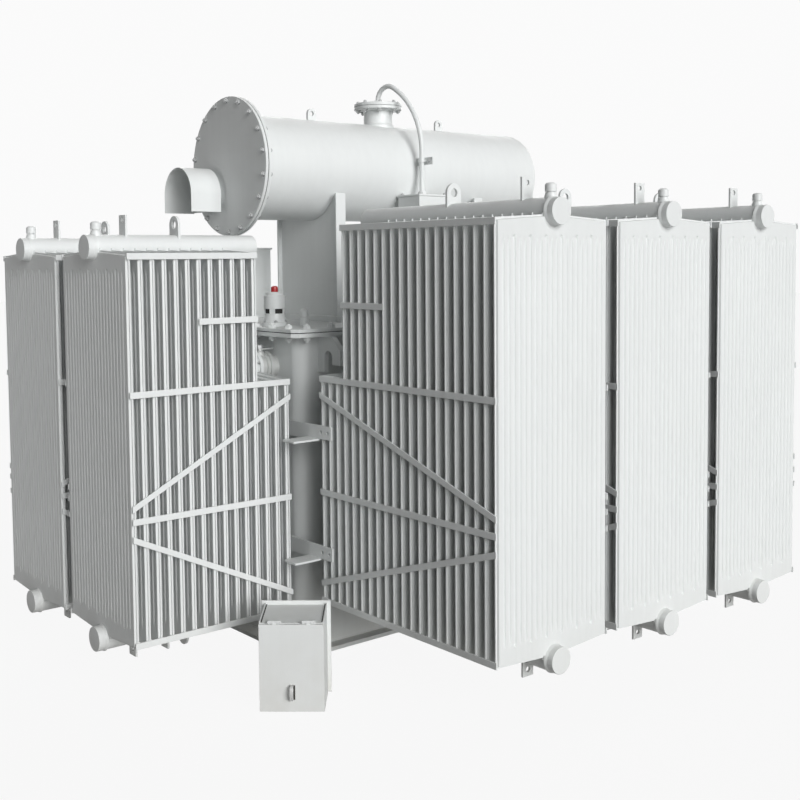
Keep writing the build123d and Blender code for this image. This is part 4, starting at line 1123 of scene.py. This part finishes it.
@dataclass
class TerminalBox:
    """Small box at the near corner with a door hung from its top edge."""

    front: Triple = (-1.177, -0.918, 0.001)
    turn: float = -40.2
    width: float = 0.219
    door_low: float = 0.003
    door_high: float = 0.302
    hinge_back: float = 0.008
    hinge_z: float = 0.309
    hinge_half: float = 0.058
    grip_half: float = 0.027
    grip_reach: float = 0.022
    grip_sheet: float = 0.006
    grip_z: float = 0.070
    strip_z: float = 0.170
    poles: int = 9
    pole_pitch: float = 0.016

    def place(self) -> Matrix:
        """Give the matrix from the box's own frame to the object's."""
        return shift(*self.front) @ spin(self.turn, "Z")

    def case(self) -> None:
        """Soften and paint the case and its carrier."""
        for node in ("terminal_box", "terminal_box_carrier"):
            soften(node, f"{node}_painted", 0.0010)

    def seams(self) -> None:
        """Make the black strips of painted shade in the gaps along both sides of the roof."""
        shape = Shape()
        slope = math.atan2(0.012, 0.170)
        # Black strips are painted where the gaps beside the roof fall into shade.
        for side in (-1, 1):
            spot = shift(side * (self.width / 2 - 0.0065), 0.103, 0.3087)
            shape.block((0.004, 0.160, 0.003), self.place() @ spot @ Matrix.Rotation(slope, 4, "X"), 0.0006)
        shape.finish("terminal_roof_painted_gap_shade", Finishes.RUBBER)

    def strip(self) -> None:
        """Make the terminal strip and the cable glands inside the case."""
        place = self.place()
        rail, blocks = Shape(), Shape()
        screw = [(0.004, 0), (0.004, 0.0035), (0, 0.004)]
        gland = [(0.016, 0), (0.016, 0.012), (0.012, 0.016), (0.012, 0.030), (0.008, 0.034), (0, 0.034)]
        rail.block((0.170, 0.006, 0.035), place @ shift(0, 0.176, self.strip_z), 0.0008)
        for k in range(self.poles):
            x = self.pole_pitch * (k - (self.poles - 1) / 2)
            blocks.block((0.0145, 0.036, 0.050), place @ shift(x, 0.155, self.strip_z), 0.0015)
            for rise in (-0.017, 0.017):
                rail.lathe(screw, place @ Axis.Y.at(x, 0.138, self.strip_z + rise) @ FLIP, 12)
        for x in (-0.05, 0.05):
            blocks.lathe(gland, place @ shift(x, 0.11, 0.004), 24)
        rail.finish("terminal_rail", Finishes.STEEL)
        blocks.finish("terminal_blocks", Finishes.BLACK)

    def door(self) -> None:
        """Make the door with its knuckles, handle and the black strip of painted shadow beside the handle.
        """
        place = self.place()
        height = self.door_high - self.door_low
        middle = (self.door_high + self.door_low) / 2
        shape = Shape()
        shape.block((self.width, 0.010, height), place @ shift(0, 0.005, middle), 0.0016)
        for side in (-1, 1):
            x = side * self.hinge_half
            knuckle = [(0, -0.007), (0.005, -0.007), (0.005, 0.007), (0, 0.007)]
            shape.lathe(knuckle, place @ Axis.X.at(x, self.hinge_back, self.hinge_z), 20)
            leaf = shift(x, self.hinge_back - 0.0025, self.door_high + 0.003)
            shape.block((0.014, 0.005, 0.010), place @ leaf, 0.0006)
        shape.finish("terminal_door_sheet", Finishes.PAINT, ("terminal_box_door",), DOOR_BODY)
        grip, handle_shadow = Shape(), Shape()
        half, reach, sheet = self.grip_half, self.grip_reach, self.grip_sheet
        arc = self.bow(half, reach, 18)
        inner = [(z * (1 - sheet / half), y * (1 - sheet / reach)) for z, y in reversed(arc)]
        across = Matrix(((0, 0, 1, 0), (0, -1, 0, 0), (1, 0, 0, self.grip_z), (0, 0, 0, 1)))
        grip.prism(arc + inner, 0.012, place @ across, 0.0012)
        grip.finish("terminal_door_handle", Finishes.ZINC, (), DOOR_BODY)
        # A black strip on the door beside the handle is the handle's painted shadow.
        handle_shadow.block((0.006, 0.002, 0.050), place @ shift(0.0085, -0.0008, self.grip_z), 0.0006)
        handle_shadow.finish("terminal_door_handle_painted_shadow", Finishes.RUBBER, (), DOOR_BODY)

    @staticmethod
    def bow(half: float, reach: float, steps: int) -> Outline:
        """Give the points of a flat bow from one foot to the other."""
        angles = [math.pi * k / steps for k in range(steps + 1)]
        return [(-half * math.cos(a), reach * math.sin(a) ** 0.6) for a in angles]


@dataclass(frozen=True)
class Lamp:
    """Soft sun lamp.

    Args:
        name: Name of the lamp.
        source: Direction that the light comes from.
        strength: Strength of the light.
        spread: Width of the light's disc in degrees.
    """

    name: str
    source: Triple
    strength: float
    spread: float

    def build(self) -> None:
        """Make the lamp and turn it towards the object."""
        data = bpy.data.lights.new(self.name, "SUN")
        data.energy = self.strength
        data.angle = math.radians(self.spread)
        made = add_object(self.name, data)
        made.rotation_mode = "QUATERNION"
        made.rotation_quaternion = Vector(self.source).to_track_quat("Z", "Y")


@dataclass
class Studio:
    """Pale floor, soft light and the camera at the photograph's angle."""

    eye: Triple = (-3.2635, -3.9845, 1.5221)
    heading: float = 38.694
    pitch: float = -3.692
    roll: float = -0.587
    lens: float = 50.546
    shift: tuple[float, float] = (0.0327, -0.0846)
    lamps: tuple[Lamp, ...] = (
        Lamp("soft_sun", (-0.03, -0.94, 0.32), 1.60, 32),
        Lamp("soft_front", (-0.17, -0.93, 0.30), 1.42, 44),
        Lamp("soft_back", (0.60, 0.78, 0.16), 1.70, 60),
    )
    sky: float = 0.08
    floor_colour: Quad = (0.35, 0.345, 0.335, 1.0)
    floor_share: float = 0.92
    floor_half: float = 40.0
    seen_colour: Quad = (0.96, 0.96, 0.96, 1.0)

    def camera(self) -> None:
        """Make the camera and set it as the scene's."""
        data = bpy.data.cameras.new("photo_camera")
        data.lens = self.lens
        data.sensor_width = 36.0
        data.shift_x, data.shift_y = self.shift
        data.clip_end = 100.0
        made = add_object("photo_camera", data)
        aim = spin(-self.heading, "Z") @ spin(90 + self.pitch, "X")
        made.matrix_world = shift(*self.eye) @ aim @ spin(self.roll, "Z")
        bpy.context.scene.camera = made

    @staticmethod
    def seen_rays(tree: bpy.types.NodeTree) -> bpy.types.NodeSocket:
        """Give a socket that is 1 for camera, glossy and transmission rays.

        Args:
            tree: Node tree that takes the nodes.

        Returns:
            The output socket with the value.
        """
        rays = tree.nodes.new("ShaderNodeLightPath")
        found = rays.outputs["Is Camera Ray"]
        for name in ("Is Glossy Ray", "Is Transmission Ray"):
            either = tree.nodes.new("ShaderNodeMath")
            either.operation = "MAXIMUM"
            tree.links.new(found, either.inputs[0])
            tree.links.new(rays.outputs[name], either.inputs[1])
            found = either.outputs[0]
        return found

    def floor(self) -> None:
        """Make the pale floor, nearly white to the camera."""
        mesh = bpy.data.meshes.new("studio_floor")
        half = self.floor_half
        corners = [(-half, -half, 0), (half, -half, 0), (half, half, 0), (-half, half, 0)]
        mesh.from_pydata(corners, [], [(0, 1, 2, 3)])
        made = add_object("studio_floor", mesh)
        paint = bpy.data.materials.new("studio_floor")
        paint.use_nodes = True
        nodes, links = paint.node_tree.nodes, paint.node_tree.links
        shader = nodes["Principled BSDF"]
        set_inputs(shader, {"Base Color": self.floor_colour, "Roughness": 0.85, "Specular IOR Level": 0.1})
        glow = nodes.new("ShaderNodeEmission")
        glow.inputs["Strength"].default_value = 1.0
        share = nodes.new("ShaderNodeMath")
        share.operation = "MULTIPLY"
        share.inputs[1].default_value = self.floor_share
        mix = nodes.new("ShaderNodeMixShader")
        links.new(self.seen_rays(paint.node_tree), share.inputs[0])
        links.new(share.outputs[0], mix.inputs["Fac"])
        links.new(shader.outputs["BSDF"], mix.inputs[1])
        links.new(glow.outputs["Emission"], mix.inputs[2])
        links.new(mix.outputs["Shader"], nodes["Material Output"].inputs["Surface"])
        mesh.materials.append(paint)

    def light(self) -> None:
        """Make the soft sun, the front and back lights and the pale surroundings."""
        for lamp in self.lamps:
            lamp.build()
        world = bpy.data.worlds.new("pale_room")
        bpy.context.scene.world = world
        world.use_nodes = True
        nodes, links = world.node_tree.nodes, world.node_tree.links
        room = nodes["Background"]
        set_inputs(room, {"Color": (0.98, 0.99, 1.0, 1.0), "Strength": self.sky})
        white = nodes.new("ShaderNodeBackground")
        white.inputs["Color"].default_value = self.seen_colour
        mix = nodes.new("ShaderNodeMixShader")
        links.new(self.seen_rays(world.node_tree), mix.inputs["Fac"])
        links.new(room.outputs["Background"], mix.inputs[1])
        links.new(white.outputs["Background"], mix.inputs[2])
        links.new(mix.outputs["Shader"], nodes["World Output"].inputs["Surface"])

    def build(self) -> None:
        """Make floor, light and camera."""
        self.floor()
        self.light()
        self.camera()
        bpy.context.scene.view_settings.view_transform = "Standard"


def radiators() -> list[Radiator]:
    """Give the radiators of both banks at their places.

    Returns:
        The radiators of the long wall, then those of the end wall.
    """
    side = {"bottom": 0.247, "top": 1.647, "short_top": 1.097, "full_count": 18}
    side |= {"header_end": 0.942, "lug_at": 0.470, "wall": 1.085, "stub": 0.060}
    end = {"bottom": 0.207, "top": 1.552, "short_top": 1.086, "full_count": 12}
    end |= {"header_end": 0.656, "lug_at": 0.327, "wall": 0.749, "stub": 0.030}
    found = []
    for k, x in enumerate((-0.578, 0.0, 0.578), start=1):
        found.append(Radiator(f"side_radiator_{k}", shift(x, -1.553, 0.0), **side))
    for k, y in enumerate((-0.291, 0.291), start=1):
        place = shift(-1.565, y, 0.0) @ spin(-90, "Z")
        found.append(Radiator(f"end_radiator_{k}", place, **end))
    return found


def main() -> None:
    """Build every sub-assembly and the studio."""
    logging.basicConfig(level=logging.INFO, format="%(message)s")
    tank = Tank()
    tank.body()
    tank.plates()
    tank.bolts()
    valves, valve_bolts = Shape(), Shape()
    for radiator in radiators():
        radiator.panels()
        radiator.headers()
        radiator.straps()
        radiator.valves(valves, valve_bolts)
    valves.finish("shut_off_valves", Finishes.VALVE, ("upper_valves", "lower_valves"))
    valve_bolts.finish("valve_bolts", Finishes.ZINC)
    conservator = Conservator()
    conservator.drum()
    conservator.supports()
    conservator.neck()
    conservator.pipe()
    conservator.oil_gauge()
    fittings = CoverFittings()
    fittings.relief_valve()
    fittings.thermometer()
    fittings.boxes()
    box = TerminalBox()
    box.case()
    box.seams()
    box.strip()
    box.door()
    Studio().build()


if __name__ == "__main__":
    main()
